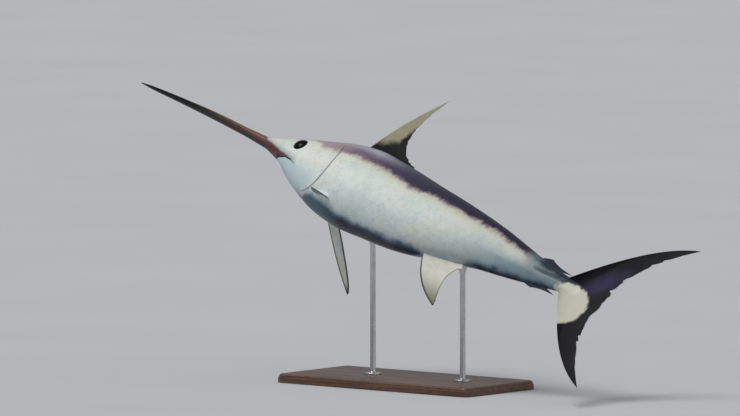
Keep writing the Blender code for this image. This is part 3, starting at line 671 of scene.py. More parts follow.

# Where the dark back has its full strength, the teal of the breast, which is painted shade under
# the head, and of the stalk, the blue of the throat and the dark crest
back_strength = smooth(skin_x, 0.950, 1.120)
# Painted shade under the head: teal over the front of the belly
breast_shade = smooth(in_belly, -0.012, 0.026) * (1 - smooth(skin_x, 1.110, 1.230))
stalk = np.maximum(smooth(skin_x, 1.640, 2.080) * smooth(degrees_round, 66, 122),
                   smooth(skin_x, 1.985, 2.075))
throat_blue = 0.65 * smooth(degrees_round, 96, 130) * (1 - smooth(behind, -0.045, 0.004))
crest = (1 - smooth(degrees_round, 14, 40)) * between(skin_x, 0.690, 0.800, 1.900, 2.050)


def three_a_point(first, second, third):
    """Three values for each point of the skin, with their means for its two end points."""
    values = np.stack(np.broadcast_arrays(first, second, third), axis=-1).astype(float)
    return np.vstack([values.reshape(-1, 3), values[0].mean(0), values[-1].mean(0)])


def fanned_rings(ring_count, sides):
    """The faces of a body of rings, whose ends are fans round the two points after the rings."""
    end, last = ring_count * sides, (ring_count - 1) * sides
    steps = [(i, (i + 1) % sides) for i in range(sides)]
    fans = [(end, i, j) for i, j in steps] + [(end + 1, last + j, last + i) for i, j in steps]
    return [face[::-1] for face in ring_faces(ring_count, sides)] + fans


TIP_REACH = 0.0012
points = three_a_point(*np.moveaxis(skin, -1, 0))
points[-2, 0] -= TIP_REACH

# Lacquered fish skin: chalky silver with cool and warm clouds, a violet black back with a ragged
# mauve hem and a painted sheen on the shoulders, a slate belly that is partly painted shade and a
# painted reflection of dark water, and a brown horn sword with painted shade beneath, all under one
# wet clear coat. The grey-green cloud, the fine mottle and the pores follow a live fish's.
CLOUD = 0.160
PEARL = 0.036
MOTTLE = 0.009
MUSCLE_TICK = 0.014
BAY = 0.045
PORE = 0.0016
HORN_GRAIN = 0.0022
PATCH_PLACE = (2.294, 0.0, -0.080)
PATCH_TURN = (0.0, 0.35, 0.0)
PATCH_RADII = (0.096, 1.0, 0.100)
SOFT = {"interpolation_type": "SMOOTHSTEP"}


def lay_coats(tree, colour, *coats, blend="MIX"):
    """Lay coats over a colour: each has a mask, or None for all over, a strength and a tone."""
    for mask, strength, tone in coats:
        share = strength if mask is None else mask
        if mask is not None and strength != 1:
            share = add_node(tree, "Math", [mask, strength], operation="MULTIPLY")
        colour = add_node(tree, "Mix", [share, colour, tone], data_type="RGBA", blend_type=blend)
    return colour


def shared_patterns(tree, spot):
    """What skin and tail share, so that no seam shows: the clouds, the ticks of the muscle blocks
    under the skin, and the place and colour of the cream patch over the end of the stalk."""
    cloud = add_node(tree, "TexNoise", {"Vector": spot, "Scale": 1 / CLOUD, "Detail": 2.0})
    ticks_at = add_node(tree, "Mapping", {"Vector": spot, "Rotation": (0.0, 0.5, 0.0),
                                          "Scale": (1.0, 0.5, 0.5)})
    ticks = add_node(tree, "TexNoise", {"Vector": ticks_at, "Scale": 1 / MUSCLE_TICK,
                                        "Detail": 3.0, "Roughness": 0.6})
    patch_at = add_node(tree, "Mapping", {"Vector": spot, "Location": PATCH_PLACE,
                                          "Rotation": PATCH_TURN, "Scale": PATCH_RADII},
                        vector_type="TEXTURE")
    from_patch = add_node(tree, "VectorMath", [patch_at], operation="LENGTH").outputs["Value"]
    ragged = add_node(tree, "Math", [ticks, 0.30, from_patch], operation="MULTIPLY_ADD")
    patch = add_node(tree, "MapRange", [ragged, 1.20, 1.05], **SOFT)
    return cloud, ticks, patch, lay_coats(tree, "#DADACF", (cloud, 1.0, "#D0CDB8"))


skin_paint, tree, shader = surface("lacquered_fish_skin", {
    "IOR": 1.40, "Specular IOR Level": 0.32, "Coat Weight": 0.12, "Coat Roughness": 0.16})
vectors = [add_node(tree, "Attribute", attribute_name=key).outputs["Vector"]
           for key in ("fish", "paint", "lines", "shade", "tints")]
spot = vectors[0]
((place, _, _), (back_in, belly_in, horn_in), (round_body, gill_slit_shade_mark, mouth_shade_mark),
 (full_back, breast_shade_mark, stalk_mark), (throat_mark, crest_mark, _)) = (
    add_node(tree, "SeparateXYZ", [vector]).outputs for vector in vectors)
along_fish = add_node(tree, "MapRange", [place, 0.0, 2.4])
cloud, ticks, patch, patch_tone = shared_patterns(tree, spot)
bays = add_node(tree, "TexNoise", {"Vector": spot, "Scale": 1 / BAY, "Detail": 4.0})
pearl = add_node(tree, "TexNoise", {"Vector": spot, "Scale": 1 / PEARL, "Detail": 4.0,
                                    "Roughness": 0.62})
mottle = add_node(tree, "TexNoise", {"Vector": spot, "Scale": 1 / MOTTLE, "Detail": 4.0,
                                     "Roughness": 0.6})

# The silver flank: pearly in patches, mottled, teal on the stalk and pale blue on the throat
flank = add_node(tree, "ValToRGB", [round_body], ramp=[
    (0.30, "#D6D6CB"), (0.40, "#E0E5DA"), (0.50, "#E7EEE7"), (0.62, "#E6EEEC"),
    (0.74, "#E0E9EA"), (0.84, "#D2DDE0"), (0.95, "#B8C5CC")])
paler_ahead = add_node(tree, "ValToRGB", [along_fish], ramp=[
    (0.43, "#FFFFFF"), (0.52, "#EBECEB"), (0.66, "#E5E6E5"), (0.84, "#CDD0D1")])
pearl_tone = add_node(tree, "ValToRGB", [pearl], ramp=[
    (0.34, "#E2EAEC"), (0.50, "#FAFAF8"), (0.64, "#FFFFFF")])
mottle_tone = add_node(tree, "ValToRGB", [mottle], ramp=[(0.30, "#E4E6E8"), (0.55, "#FFFFFF")])
warm = add_node(tree, "MapRange", [cloud, 0.52, 0.70], **SOFT)
cool = add_node(tree, "MapRange", [cloud, 0.50, 0.34], **SOFT)
colour = lay_coats(tree, flank, (None, 1.0, paler_ahead), blend="MULTIPLY")
colour = lay_coats(tree, colour, (warm, 0.26, "#DCD9C0"), (cool, 0.40, "#C3D6CE"))
colour = lay_coats(tree, colour, (None, 0.60, pearl_tone), (None, 0.38, mottle_tone),
                   blend="MULTIPLY")
colour = lay_coats(tree, colour, (stalk_mark, 0.80, "#5D7A86"), (throat_mark, 1.0, "#B9D1D8"))

# The back, whose lower edge is a mauve hem with bays as wide as a hand and ragged with ticks
rag = add_node(tree, "MapRange", [ticks, 0.25, 0.75, -0.006, 0.006])
wander = add_node(tree, "MapRange", [bays, 0.25, 0.75, -0.010, 0.010])
ragged = add_node(tree, "Math", [rag, wander], operation="ADD")
back_depth = add_node(tree, "Math", [back_in, ragged], operation="ADD")
warm_hem = add_node(tree, "MapRange", [back_depth, -0.050, -0.012], **SOFT)
hem = add_node(tree, "MapRange", [back_depth, -0.023, 0.006], **SOFT)
dark_edge = add_node(tree, "MapRange", [back_depth, -0.010, 0.012], **SOFT)
dark = add_node(tree, "Math", [dark_edge, full_back], operation="MULTIPLY")
deep_back = add_node(tree, "MapRange", [back_in, 0.018, 0.070], **SOFT)
hem_tone = add_node(tree, "ValToRGB", [along_fish], ramp=[
    (0.30, "#4C4447"), (0.42, "#978892"), (0.49, "#7E6F80"), (0.54, "#524960"),
    (0.62, "#3C3651"), (0.80, "#2A273E"), (0.88, "#1D2C3C")])
# The crown's dark tone, with a painted sheen of light grey over the shoulders behind the head
crown_and_sheen_tone = add_node(tree, "ValToRGB", [along_fish], ramp=[
    (0.30, "#7C7D84"), (0.42, "#ACAEB8"), (0.495, "#B4B6C0"), (0.56, "#565A6A"),
    (0.65, "#2C2F40"), (0.85, "#1F2430")])
back_tone = lay_coats(tree, hem_tone, (deep_back, 1.0, crown_and_sheen_tone))
back_tone = lay_coats(tree, back_tone, (mottle, 1.0, "#4F4158"), blend="SOFT_LIGHT")
colour = lay_coats(tree, colour, (warm_hem, 0.45, "#D6D3BC"), (hem, 0.72, "#8A6B7A"),
                   (dark, 1.0, back_tone), (crest_mark, 0.92, "#2C2B3A"))

# The stalk: teal over back and flank alike, with a blue black back just ahead of the tail
on_stalk = add_node(tree, "MapRange", [place, 1.990, 2.075], **SOFT)
along_stalk = add_node(tree, "MapRange", [place, 2.00, 2.25])
stalk_tone = add_node(tree, "ValToRGB", [along_stalk], ramp=[
    (0.10, "#6A7C86"), (0.36, "#5C7480"), (0.62, "#53707A"), (0.9, "#6B7C82")])
near_tail = add_node(tree, "MapRange", [place, 2.050, 2.110], **SOFT)
tail_back = add_node(tree, "Math", [near_tail, dark_edge], operation="MULTIPLY")
colour = lay_coats(tree, colour, (on_stalk, 0.80, stalk_tone), (tail_back, 1.0, "#1A2836"))

# The belly: slate blue that deepens to blue black along its middle, partly its own colour and
# partly painted shade and a painted reflection of dark water; teal painted shade on the breast
# under the head; and behind it the cream patch
belly_rag = add_node(tree, "MapRange", [bays, 0.3, 0.7, -0.010, 0.010])
belly_depth = add_node(tree, "Math", [belly_in, belly_rag], operation="ADD")
into_belly = add_node(tree, "MapRange", [belly_depth, -0.030, 0.030])
# Painted shade and a painted reflection of dark water, deepest along the belly's middle
belly_and_shade_tone = add_node(tree, "ValToRGB", [into_belly], ramp=[
    (0.0, "#9AA9AF"), (0.45, "#6C7F8B"), (0.75, "#364657"), (1.0, "#1B2533")])
on_belly = add_node(tree, "MapRange", [into_belly, 0.0, 0.60], **SOFT)
colour = lay_coats(tree, colour, (on_belly, 1.0, belly_and_shade_tone), (breast_shade_mark, 0.80, "#4A6C78"),
                   (patch, 1.0, patch_tone))

# The sword: blackish horn at its tip that turns brown and then brick red towards the face,
# black underneath all along from painted shade, and blurred grey where it runs into the white of the
# cheek
grain_at = add_node(tree, "Mapping", {"Vector": spot, "Scale": (0.04, 1.0, 1.0)})
horn_grain = add_node(tree, "TexNoise", {"Vector": grain_at, "Scale": 1 / HORN_GRAIN,
                                         "Detail": 3.0})
horn_tone = add_node(tree, "ValToRGB", [along_fish], ramp=[
    (0.02, "#0A0A0C"), (0.105, "#080809"), (0.14, "#3B332B"), (0.17, "#574940"),
    (0.23, "#705349"), (0.275, "#7C5452"), (0.305, "#74454A"), (0.345, "#5C4844")])
# Painted shade: the sword's underside darkened to black
underneath = add_node(tree, "MapRange", [round_body, 0.66, 0.94], **SOFT)
ahead_of_face = add_node(tree, "MapRange", [along_fish, 0.315, 0.285])
sword_underside_shade = add_node(tree, "Math", [underneath, ahead_of_face], operation="MULTIPLY")
horn_tone = lay_coats(tree, horn_tone, (sword_underside_shade, 0.80, "#0B0A0A"))
horn_tone = lay_coats(tree, horn_tone, (horn_grain, 1.0, "#8A7A70"), blend="SOFT_LIGHT")
horn_rag = add_node(tree, "MapRange", [mottle, 0.3, 0.7, -0.002, 0.002])
horn_depth = add_node(tree, "Math", [horn_in, horn_rag], operation="ADD")
smudge = add_node(tree, "MapRange", [horn_depth, -0.024, 0.004], **SOFT)
horn = add_node(tree, "MapRange", [horn_depth, -0.004, 0.008], **SOFT)
colour = lay_coats(tree, colour, (smudge, 0.50, "#8B8580"), (horn, 1.0, horn_tone))

# Painted shade in the slit behind the gill cover, a grey partly of the slit's own colour, and near
# black painted shade inside the mouth
colour = lay_coats(tree, colour, (gill_slit_shade_mark, 0.55, "#73757D"), (mouth_shade_mark, 0.85, "#1E1416"))

rough = add_node(tree, "MapRange", [mottle, 0.3, 0.7, 0.36, 0.50])
pores = add_node(tree, "TexNoise", {"Vector": spot, "Scale": 1 / PORE, "Detail": 2.0})
pore_height = add_node(tree, "Math", [pores, mottle], operation="ADD")
skin_height = add_node(tree, "Mix", [horn, pore_height, horn_grain])
relief = add_node(tree, "Bump", {"Height": skin_height, "Strength": 0.30, "Distance": 0.0006})
give(shader, {"Base Color": colour, "Roughness": rough, "Normal": relief})

skin_piece = make_mesh("fish_skin", to_room(points), fanned_rings(*angle.shape), skin_paint, {
    "fish": points,
    "paint": three_a_point(in_back, in_belly, in_horn),
    "lines": three_a_point(angle / math.pi, gill_slit_shade, inside_mouth),
    "shade": three_a_point(back_strength, breast_shade, stalk),
    "tints": three_a_point(throat_blue, crest, 0.0)})
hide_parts("bill", "head", "lower_jaw", "gill_cover_left", "gill_cover_right",
            "trunk_front", "trunk_rear", "tail_stalk", "keel_left", "keel_right")
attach(skin_piece, "root")


# The eyes: large glass eyes, blue black through and through as in life, each set in its socket
# with a slightly fuller cornea over a blackish iris. They are cemented in from outside.

# Painted glass under a clear dome: a black pupil, an iris only just lighter, and a soft gloss.
CORNEA_SWELL = 0.035
EYE_SEGMENTS, EYE_RINGS = 96, 48
IRIS_THREADS = 60.0
eye_glass, tree, shader = surface("painted_eye_glass", {
    "Roughness": 0.17, "IOR": 1.45, "Specular IOR Level": 0.11})
disc = add_node(tree, "Attribute", attribute_name="disc").outputs["Vector"]
from_centre = add_node(tree, "SeparateXYZ", [disc]).outputs["Z"]
threads = add_node(tree, "TexNoise", {"Vector": disc, "Scale": IRIS_THREADS, "Detail": 3.0})
ring = add_node(tree, "Math", [threads, 0.10, from_centre], operation="MULTIPLY_ADD")
iris = add_node(tree, "ValToRGB", [ring], ramp=[
    (0.36, "#020206"), (0.48, "#08070B"), (0.66, "#0A090E"), (0.84, "#030306")])
give(shader, {"Base Color": iris})

tilt = np.linspace(0, math.pi, EYE_RINGS + 1)[1:-1, None]
spin = np.linspace(0, math.tau, EYE_SEGMENTS, endpoint=False)[None, :]
disc_places = np.stack(np.broadcast_arrays(np.sin(tilt) * np.cos(spin), np.sin(tilt) * np.sin(spin),
                                           np.sin(tilt)), axis=-1).reshape(-1, 3)
cornea = 1 + CORNEA_SWELL * np.exp(-(np.sin(tilt) / 0.55) ** 4) * (tilt < math.pi / 2)
rise = np.broadcast_to(np.cos(tilt) * cornea * EYE_DEPTH, (EYE_RINGS - 1, EYE_SEGMENTS))
ball = np.column_stack([disc_places[:, :2] * EYE_RADIUS, rise.ravel()])
ball = np.vstack([ball, (0, 0, EYE_DEPTH * (1 + CORNEA_SWELL)), (0, 0, -EYE_DEPTH)])
disc_places = np.vstack([disc_places, np.zeros((2, 3))])
for name, eye_side in (("left", -1), ("right", 1)):
    eye_point, eye_out = skin_frame(EYE_X, EYE_ANGLE, eye_side)
    turn = np.array(straight_up.rotation_difference(Vector(eye_out)).to_matrix())
    in_fish = ball @ turn.T + eye_point - eye_out * EYE_SUNK
    eye = make_mesh("glass_eye_" + name, to_room(in_fish),
                    fanned_rings(EYE_RINGS - 1, EYE_SEGMENTS), eye_glass, {"disc": disc_places})
    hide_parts("eye_" + name)
    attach(eye, "root")


# The two fins of the back: a tall, stiff sickle on the shoulders and a small soft flap at the end
# of the stalk. Each is rays of bone joined by skin; the model's are cast with the rays in relief.

RAY_SAMPLES = 6
LEAST_HALF_THICKNESS = 0.00028
FIN_PORE = 0.0018
FISH_RIGHT = (0, 1, 0)


def curve_points(controls, t):
    """Points on the curve that these control points draw, for an array of places along it."""
    layers = [np.broadcast_to(c, t.shape + (3,)) for c in controls]
    while len(layers) > 1:
        layers = [a + (b - a) * t[..., None] for a, b in zip(layers, layers[1:])]
    return layers[0]


def nearest(grid_points, line):
    """How far each point of a grid lies from the closest of a line's points."""
    return np.stack([np.linalg.norm(row_points[:, None] - line, axis=-1).min(axis=1)
                     for row_points in grid_points])


def fin_piece(name, nodes, material, rays, row_count, base_of, tip_of, bow_of, half_of,
              normal, tear, seed, two_leads=False):
    """A closed blade with ridged rays that fork towards a frayed margin.

    base_of, tip_of and bow_of give points for an array of places u across the fin, and half_of
    the half thickness for u, the share v out along a ray, and a ridge from 0 to 1.
    """
    draw = np.random.default_rng(seed)
    u = np.linspace(0, 1, rays * RAY_SAMPLES + 1)
    v = np.linspace(0, 1, row_count) ** 1.15
    start, end = base_of(u), tip_of(u)
    control = (start + end) / 2 + bow_of(u)
    phase = u * rays
    forked = 0.5 + 0.5 * np.cos(math.tau * phase * 2)
    single = 0.5 + 0.5 * np.cos(math.tau * phase)
    frayed = tear * (0.55 * (1 - forked) + np.interp(
        phase, np.arange(rays + 1), draw.uniform(0, 1, rays + 1) ** 3 * 1.6))
    length = np.linalg.norm(end - start, axis=-1)
    from_lead = np.minimum(u, 1 - u) if two_leads else u
    reach = 1 - frayed * np.clip(from_lead * 9, 0, 1) / np.maximum(length, 0.02)
    t = (v[None, :] * reach[:, None])[..., None]
    blade = ((1 - t) ** 2 * start[:, None] + 2 * t * (1 - t) * control[:, None]
             + t ** 2 * end[:, None])
    fork = smooth(v, 0.38, 0.62)[None, :]
    ridge = (single[:, None] * (1 - fork) + forked[:, None] * fork) ** 0.8
    nose = np.sqrt(np.clip(1 - (1 - np.clip(u * rays / 1.6, 0, 1)) ** 2, 0.04, 1))
    heel = np.sqrt(np.clip(1 - (1 - np.clip((1 - u) * rays / 1.2, 0, 1)) ** 2, 0.10, 1))
    half = half_of(u[:, None], v[None, :], ridge) * (nose * heel)[:, None]
    offset = np.maximum(half, LEAST_HALF_THICKNESS)[..., None] * np.asarray(normal)
    points = np.stack([blade + offset, blade - offset]).reshape(-1, 3)
    near, far = np.arange(len(points)).reshape(2, len(u), row_count)
    quads = [(near[:-1, :-1], near[1:, :-1], near[1:, 1:], near[:-1, 1:]),
             (far[:-1, :-1], far[:-1, 1:], far[1:, 1:], far[1:, :-1]),
             (near[:-1, -1], near[1:, -1], far[1:, -1], far[:-1, -1]),
             (near[:-1, 0], far[:-1, 0], far[1:, 0], near[1:, 0]),
             (near[0, :-1], near[0, 1:], far[0, 1:], far[0, :-1]),
             (near[-1, :-1], far[-1, :-1], far[-1, 1:], near[-1, 1:])]
    faces = np.concatenate([np.stack(q, -1).reshape(-1, 4) for q in quads])
    across, outwards = start[-1] - start[0], end[len(u) // 2] - start[len(u) // 2]
    if np.cross(across, outwards) @ np.asarray(normal) < 0:
        faces = faces[:, ::-1]
    leads = np.vstack([blade[0], blade[-1]]) if two_leads else blade[0]
    rears = blade[:, -1] if two_leads else np.vstack([blade[:, -1], blade[-1]])
    from_root = np.linalg.norm(blade - start.mean(axis=0), axis=-1)
    on_blade = np.stack(np.broadcast_arrays(u[:, None], v[None, :], ridge), axis=-1)
    rim = np.stack([nearest(blade, leads), nearest(blade, rears), from_root / from_root.max()],
                   axis=-1)
    fin = make_mesh(name, to_room(points), faces, material, {
        "fish": points, "blade": np.stack([on_blade, on_blade]), "rim": np.stack([rim, rim])})
    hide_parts(*nodes)
    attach(fin, "root")


def blade_half(root, edge, ridge_height, front_extra=0.0):
    """Fleshy at the root, thin at the margin, with ridges that fade outwards."""
    def half(u, v, ridge):
        flesh = root * (1 - v) ** 6 * (1 - 0.45 * u)
        front = front_extra * (1 - 0.75 * v) * np.maximum(0.0, 1 - 6 * u)
        return flesh + edge + 1.6 * edge * (1 - v) + front + ridge * ridge_height * (1 - 0.6 * v)
    return half


def in_plane(x, z):
    x, z = np.broadcast_arrays(x, z)
    return np.stack([x, np.zeros_like(x), z], axis=-1)


def margin_of(*controls):
    return lambda u: curve_points([in_plane(x, z) for x, z in controls], u)


def body_base(front, rear, column, sink):
    """The line along the back (column 1) or belly (column 2) that a fin stands on."""
    def base(u):
        x = front + (rear - front) * u
        return in_plane(x, through(BODY_STATIONS, x, column) + sink)
    return base


def fin_skin(name, gloss, blotch, satin, paint, ray_share, ray_tone):
    """Wet skin over fin rays: its own paint in blotches of such a size, tinted rays, fine pores."""
    material, tree, shader = surface(name, {"IOR": 1.40, "Specular IOR Level": gloss})
    vectors = [add_node(tree, "Attribute", attribute_name=key).outputs["Vector"]
               for key in ("fish", "blade", "rim")]
    spot = vectors[0]
    fish_at, blade_at, rim_at = (add_node(tree, "SeparateXYZ", [vector]).outputs
                                 for vector in vectors)
    cloud = add_node(tree, "TexNoise", {"Vector": spot, "Scale": 1 / blotch, "Detail": 4.0,
                                        "Roughness": 0.6})
    colour = paint(tree, spot, cloud, fish_at, blade_at, rim_at)
    colour = lay_coats(tree, colour, (blade_at["Z"], ray_share, ray_tone))
    rough = add_node(tree, "MapRange", [cloud, 0.3, 0.7, *satin])
    fine = add_node(tree, "TexNoise", {"Vector": spot, "Scale": 1 / FIN_PORE, "Detail": 2.0})
    relief = add_node(tree, "Bump", {"Height": fine, "Strength": 0.30, "Distance": 0.0005})
    give(shader, {"Base Color": colour, "Roughness": rough, "Normal": relief})
    return material


def khaki_paint(tree, spot, cloud, fish_at, blade_at, rim_at):
    """Black low down, khaki above a ragged line that climbs along the rear margin."""
    level = add_node(tree, "Math", [fish_at["X"], -0.60, fish_at["Z"]], operation="MULTIPLY_ADD")
    ragged = add_node(tree, "Math", [cloud, 0.050, level], operation="MULTIPLY_ADD")
    climb = add_node(tree, "MapRange", [rim_at["Y"], 0.032, 0.0, 0.0, -0.075])
    height = add_node(tree, "Math", [ragged, climb], operation="ADD")
    khaki = add_node(tree, "MapRange", [height, -0.438, -0.384], **SOFT)
    khaki_tone = add_node(tree, "ValToRGB", [cloud], ramp=[
        (0.28, "#978C80"), (0.46, "#A39D88"), (0.58, "#A5A47C"), (0.70, "#A6A28F")])
    black_tone = add_node(tree, "ValToRGB", [cloud], ramp=[(0.3, "#0A0B10"), (0.7, "#191722")])
    return lay_coats(tree, black_tone, (khaki, 1.0, khaki_tone))


# Two-coloured fin skin: violet black low down, dull olive cream above, and each ray a shade
# darker than the skin between. Damp, with a softer gloss than the body.
fin_khaki = fin_skin("fin_skin_khaki", 0.07, 0.028, (0.36, 0.52), khaki_paint, 0.22, "#4A4438")
fin_piece("tall_back_fin", ["first_dorsal_fin"], fin_khaki, 34, 76,
          body_base(1.060, 1.286, 1, -0.008),
          margin_of((1.197, 0.514), (1.150, 0.330), (1.165, 0.212), (1.296, 0.184)),
          lambda u: in_plane(-0.043 * (1 - u) ** 2, -0.017 * (1 - u) ** 2),
          blade_half(0.0100, 0.0005, 0.0010, 0.0022), FISH_RIGHT, 0.006, 21)

# Where the painted violet sheen lies on the tail
SHEEN_PLACE = (2.370, 0.0, 0.080)
SHEEN_TURN = (0.0, -0.95, 0.0)
SHEEN_RADII = (0.150, 1.0, 0.055)
TAIL_FROM = 2.2295


def black_paint(tree, spot, cloud, fish_at, blade_at, rim_at):
    """Blue black with a painted violet sheen on the tail's upper lobe and the stalk's patch at its
    root;
    the two small fins, ahead of the tail, are slate."""
    black_tone = add_node(tree, "ValToRGB", [cloud], ramp=[
        (0.30, "#09090C"), (0.50, "#100D12"), (0.68, "#181422")])
    sheen_at = add_node(tree, "Mapping", {"Vector": spot, "Location": SHEEN_PLACE,
                                          "Rotation": SHEEN_TURN, "Scale": SHEEN_RADII},
                        vector_type="TEXTURE")
    from_sheen = add_node(tree, "VectorMath", [sheen_at], operation="LENGTH").outputs["Value"]
    ragged = add_node(tree, "Math", [cloud, 0.5, from_sheen], operation="MULTIPLY_ADD")
    violet_sheen = add_node(tree, "MapRange", [ragged, 1.30, 0.45], **SOFT)
    on_tail = add_node(tree, "MapRange", [fish_at["X"], TAIL_FROM, TAIL_FROM + 0.0005])
    _, _, patch, patch_tone = shared_patterns(tree, spot)
    tail_patch = add_node(tree, "Math", [patch, on_tail], operation="MULTIPLY")
    tail_tone = lay_coats(tree, black_tone, (violet_sheen, 0.65, "#3A3158"))
    return lay_coats(tree, "#1F2F3B", (on_tail, 1.0, tail_tone), (tail_patch, 1.0, patch_tone))


# Plain dark fin skin: blue black with a painted violet sheen, rays barely lighter.
fin_black = fin_skin("fin_skin_violet_black", 0.08, 0.045, (0.30, 0.46), black_paint, 0.18,
                     "#0E0D12")
fin_piece("small_back_fin", ["second_dorsal_fin"], fin_black, 9, 26,
          body_base(2.052, 2.150, 1, -0.005),
          margin_of((2.108, 0.079), (2.140, 0.060), (2.230, 0.050)),
          lambda u: in_plane(-0.006 * (1 - u), 0.004 * (1 - u)),
          blade_half(0.0055, 0.0005, 0.0006), FISH_RIGHT, 0.002, 22)


# The two fins under the tail: a cream sickle behind the vent and a small dark flap below the
# stalk, both rays and skin like those of the back.

def cream_paint(tree, spot, cloud, fish_at, blade_at, rim_at):
    """Cream, with a drab tip, a thin dark hem behind and a black leading edge."""
    cream_tone = add_node(tree, "ValToRGB", [cloud], ramp=[
        (0.30, "#CCCBBE"), (0.55, "#DADACE"), (0.75, "#E0E0D6")])
    tip = add_node(tree, "MapRange", [fish_at["Z"], -0.190, -0.330], **SOFT)
    hem = add_node(tree, "MapRange", [rim_at["Y"], 0.0060, 0.0010], **SOFT)
    front = add_node(tree, "MapRange", [rim_at["X"], 0.0080, 0.0055], **SOFT)
    return lay_coats(tree, cream_tone, (tip, 1.0, "#6E6A55"), (hem, 0.55, "#3A372F"),
                     (front, 0.95, "#22221F"))


# Cream fin skin: like wet parchment, with browner rays, a dark hem behind and a drab tip.
fin_cream = fin_skin("fin_skin_cream", 0.30, 0.035, (0.34, 0.50), cream_paint, 0.14, "#857C66")
fin_piece("large_under_fin", ["first_anal_fin"], fin_cream, 26, 56,
          body_base(1.612, 1.786, 2, 0.008),
          margin_of((1.814, -0.330), (1.846, -0.334), (1.770, -0.262), (1.748, -0.165),
                    (1.812, -0.132)),
          lambda u: in_plane(-0.048 * (1 - u) ** 2, -0.030 * (1 - u) ** 2),
          blade_half(0.0110, 0.0005, 0.0009, 0.0018), FISH_RIGHT, 0.004, 23)
fin_piece("small_under_fin", ["second_anal_fin"], fin_black, 9, 26,
          body_base(2.058, 2.156, 2, 0.005),
          margin_of((2.112, -0.074), (2.150, -0.058), (2.228, -0.062)),
          lambda u: in_plane(-0.006 * (1 - u), -0.003 * (1 - u)),
          blade_half(0.0055, 0.0005, 0.0006), FISH_RIGHT, 0.002, 24)


# The breast fins: one long stiff blade low on each flank, held straight out and a little down.
# Each is rays of bone joined by skin like the other fins, and is cast spread, as in the leap.

CHORD, BLADE_LENGTH = 0.054, 0.300
ROOT_SINK = 0.014
# What draws the outer margin from the tip inwards: shares of the length, and how far from the
# straight front edge
BREAST_MARGIN = ((1.00, 0.0), (1.00, 0.026), (0.74, 0.026), (0.34, 0.032))


def grey_paint(tree, spot, cloud, fish_at, blade_at, rim_at):
    """Pale grey, with dark leading and rear edges, a dark outer tip, painted shade that carries the
    dark further in on the left fin, and skin grey at the root."""
    grey_tone = add_node(tree, "ValToRGB", [cloud], ramp=[
        (0.30, "#CDD4CD"), (0.55, "#DEE4DC"), (0.75, "#E6EBE3")])
    front = add_node(tree, "MapRange", [rim_at["X"], 0.0078, 0.0052], **SOFT)
    hem = add_node(tree, "MapRange", [rim_at["Y"], 0.0074, 0.0050], **SOFT)
    # Painted shade: on the left fin the dark starts much nearer the root
    dark_tip_and_shade_from = add_node(tree, "MapRange", [fish_at["Y"], -0.10, 0.10, 0.36, 0.92])
    past_dark_tip_and_shade = add_node(tree, "Math", [rim_at["Z"], dark_tip_and_shade_from], operation="SUBTRACT")
    dark_tip_and_shade = add_node(tree, "MapRange", [past_dark_tip_and_shade, -0.10, 0.08], **SOFT)
    root = add_node(tree, "MapRange", [blade_at["Y"], 0.16, 0.06], **SOFT)
    return lay_coats(tree, grey_tone, (front, 0.95, "#23272A"), (hem, 0.92, "#2B2D2C"),
                     (dark_tip_and_shade, 0.85, "#2B2D2C"), (root, 1.0, "#B4C2C4"))


# Grey fin skin: pale grey like wet slate, dark along both edges and at the outer tip, with painted
# shade over more of the left fin.
fin_grey = fin_skin("fin_skin_olive_grey", 0.30, 0.030, (0.32, 0.48), grey_paint, 0.14, "#4C524F")

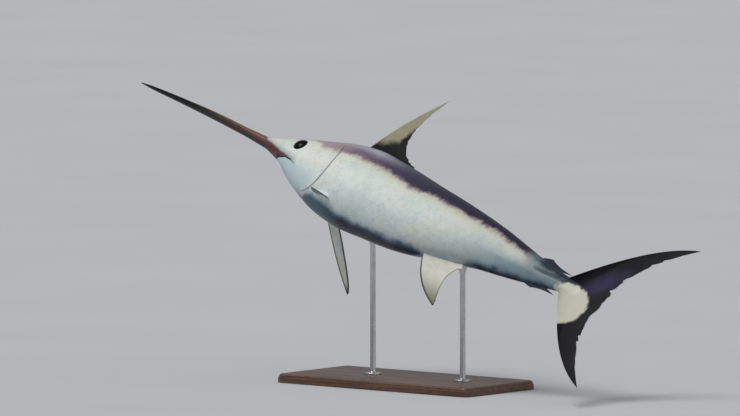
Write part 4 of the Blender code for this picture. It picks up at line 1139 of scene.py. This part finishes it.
fish_axis = np.array((1.0, 0.0, 0.0))
for name, fin_side, sweep, droop in (("left", -1, 24.5, 26), ("right", 1, 19.4, 28)):
    sweep, droop = math.radians(sweep), math.radians(droop)
    outwards = np.array((math.sin(sweep), fin_side * math.cos(sweep) * math.cos(droop),
                         -math.cos(sweep) * math.sin(droop)))
    normal = np.cross(outwards, fish_axis) * fin_side
    normal /= np.linalg.norm(normal)
    forward = fish_axis - outwards * outwards[0]
    forward /= np.linalg.norm(forward)
    root_point, _ = skin_frame(PECTORAL_X, PECTORAL_ANGLE, fin_side)
    tips = [root_point + outwards * BLADE_LENGTH * share + forward * away
            for share, away in BREAST_MARGIN]
    tips.append(root_point + outwards * BLADE_LENGTH * 0.10 + fish_axis * (CHORD / 2 + 0.004))
    fin_piece("breast_fin_" + name, ["pectoral_fin_" + name], fin_grey, 18, 64,
              lambda u: root_point - outwards * ROOT_SINK + fish_axis * (CHORD * (u - 0.5))[:, None],
              lambda u: curve_points(tips, u),
              lambda u: (forward * -0.010 + normal * 0.012) * (1 - u)[:, None],
              blade_half(0.0080, 0.0005, 0.0008, 0.0016), normal, 0.003, 25 + fin_side)


# The tail: a wide stiff crescent of two swept lobes, whose rays clasp the end of the stalk.
# Both are cast in one with the stalk; their rear margin is worn and frayed as on a living fish.

LOBES_FROM, LOBES_HALF_HEIGHT = 2.230, 0.032495
LOWER_LOBE_SHARE = 0.98
TAIL_MARGIN = ((2.611, 0.389), (2.486, 0.268), (2.405, 0.135), (2.440, 0.0))


def tail_margin(u):
    """The rear margin from the upper tip through the fork to the lower tip."""
    out = np.abs(1 - 2 * u)
    place = curve_points([in_plane(x, z) for x, z in TAIL_MARGIN], 1 - out)
    place[..., 2] *= np.sign(1 - 2 * u) * np.where(u > 0.5, LOWER_LOBE_SHARE, 1.0)
    return place


def tail_half(u, v, ridge):
    out = np.abs(1 - 2 * u)
    root = 0.0165 * (1 - out ** SECTION_POWER) ** (1 / SECTION_POWER) * (1 - v) ** 5
    lead = 0.0034 * (1 - 0.85 * v) * np.maximum(0.0, 8 * out - 7)
    return root + 0.0006 + 0.0016 * (1 - v) + lead + ridge * 0.0011 * (1 - 0.55 * v)


fin_piece("tail_crescent", ["tail_lobe_upper", "tail_lobe_lower"], fin_black,
          60, 90,
          lambda u: in_plane(LOBES_FROM, LOBES_HALF_HEIGHT * (1 - 2 * u)),
          tail_margin,
          lambda u: in_plane(-0.003 * np.abs(1 - 2 * u) ** 2.2,
                             0.111 * np.sign(1 - 2 * u) * np.abs(1 - 2 * u) ** 2.2),
          tail_half, FISH_RIGHT, 0.012, 31, two_leads=True)
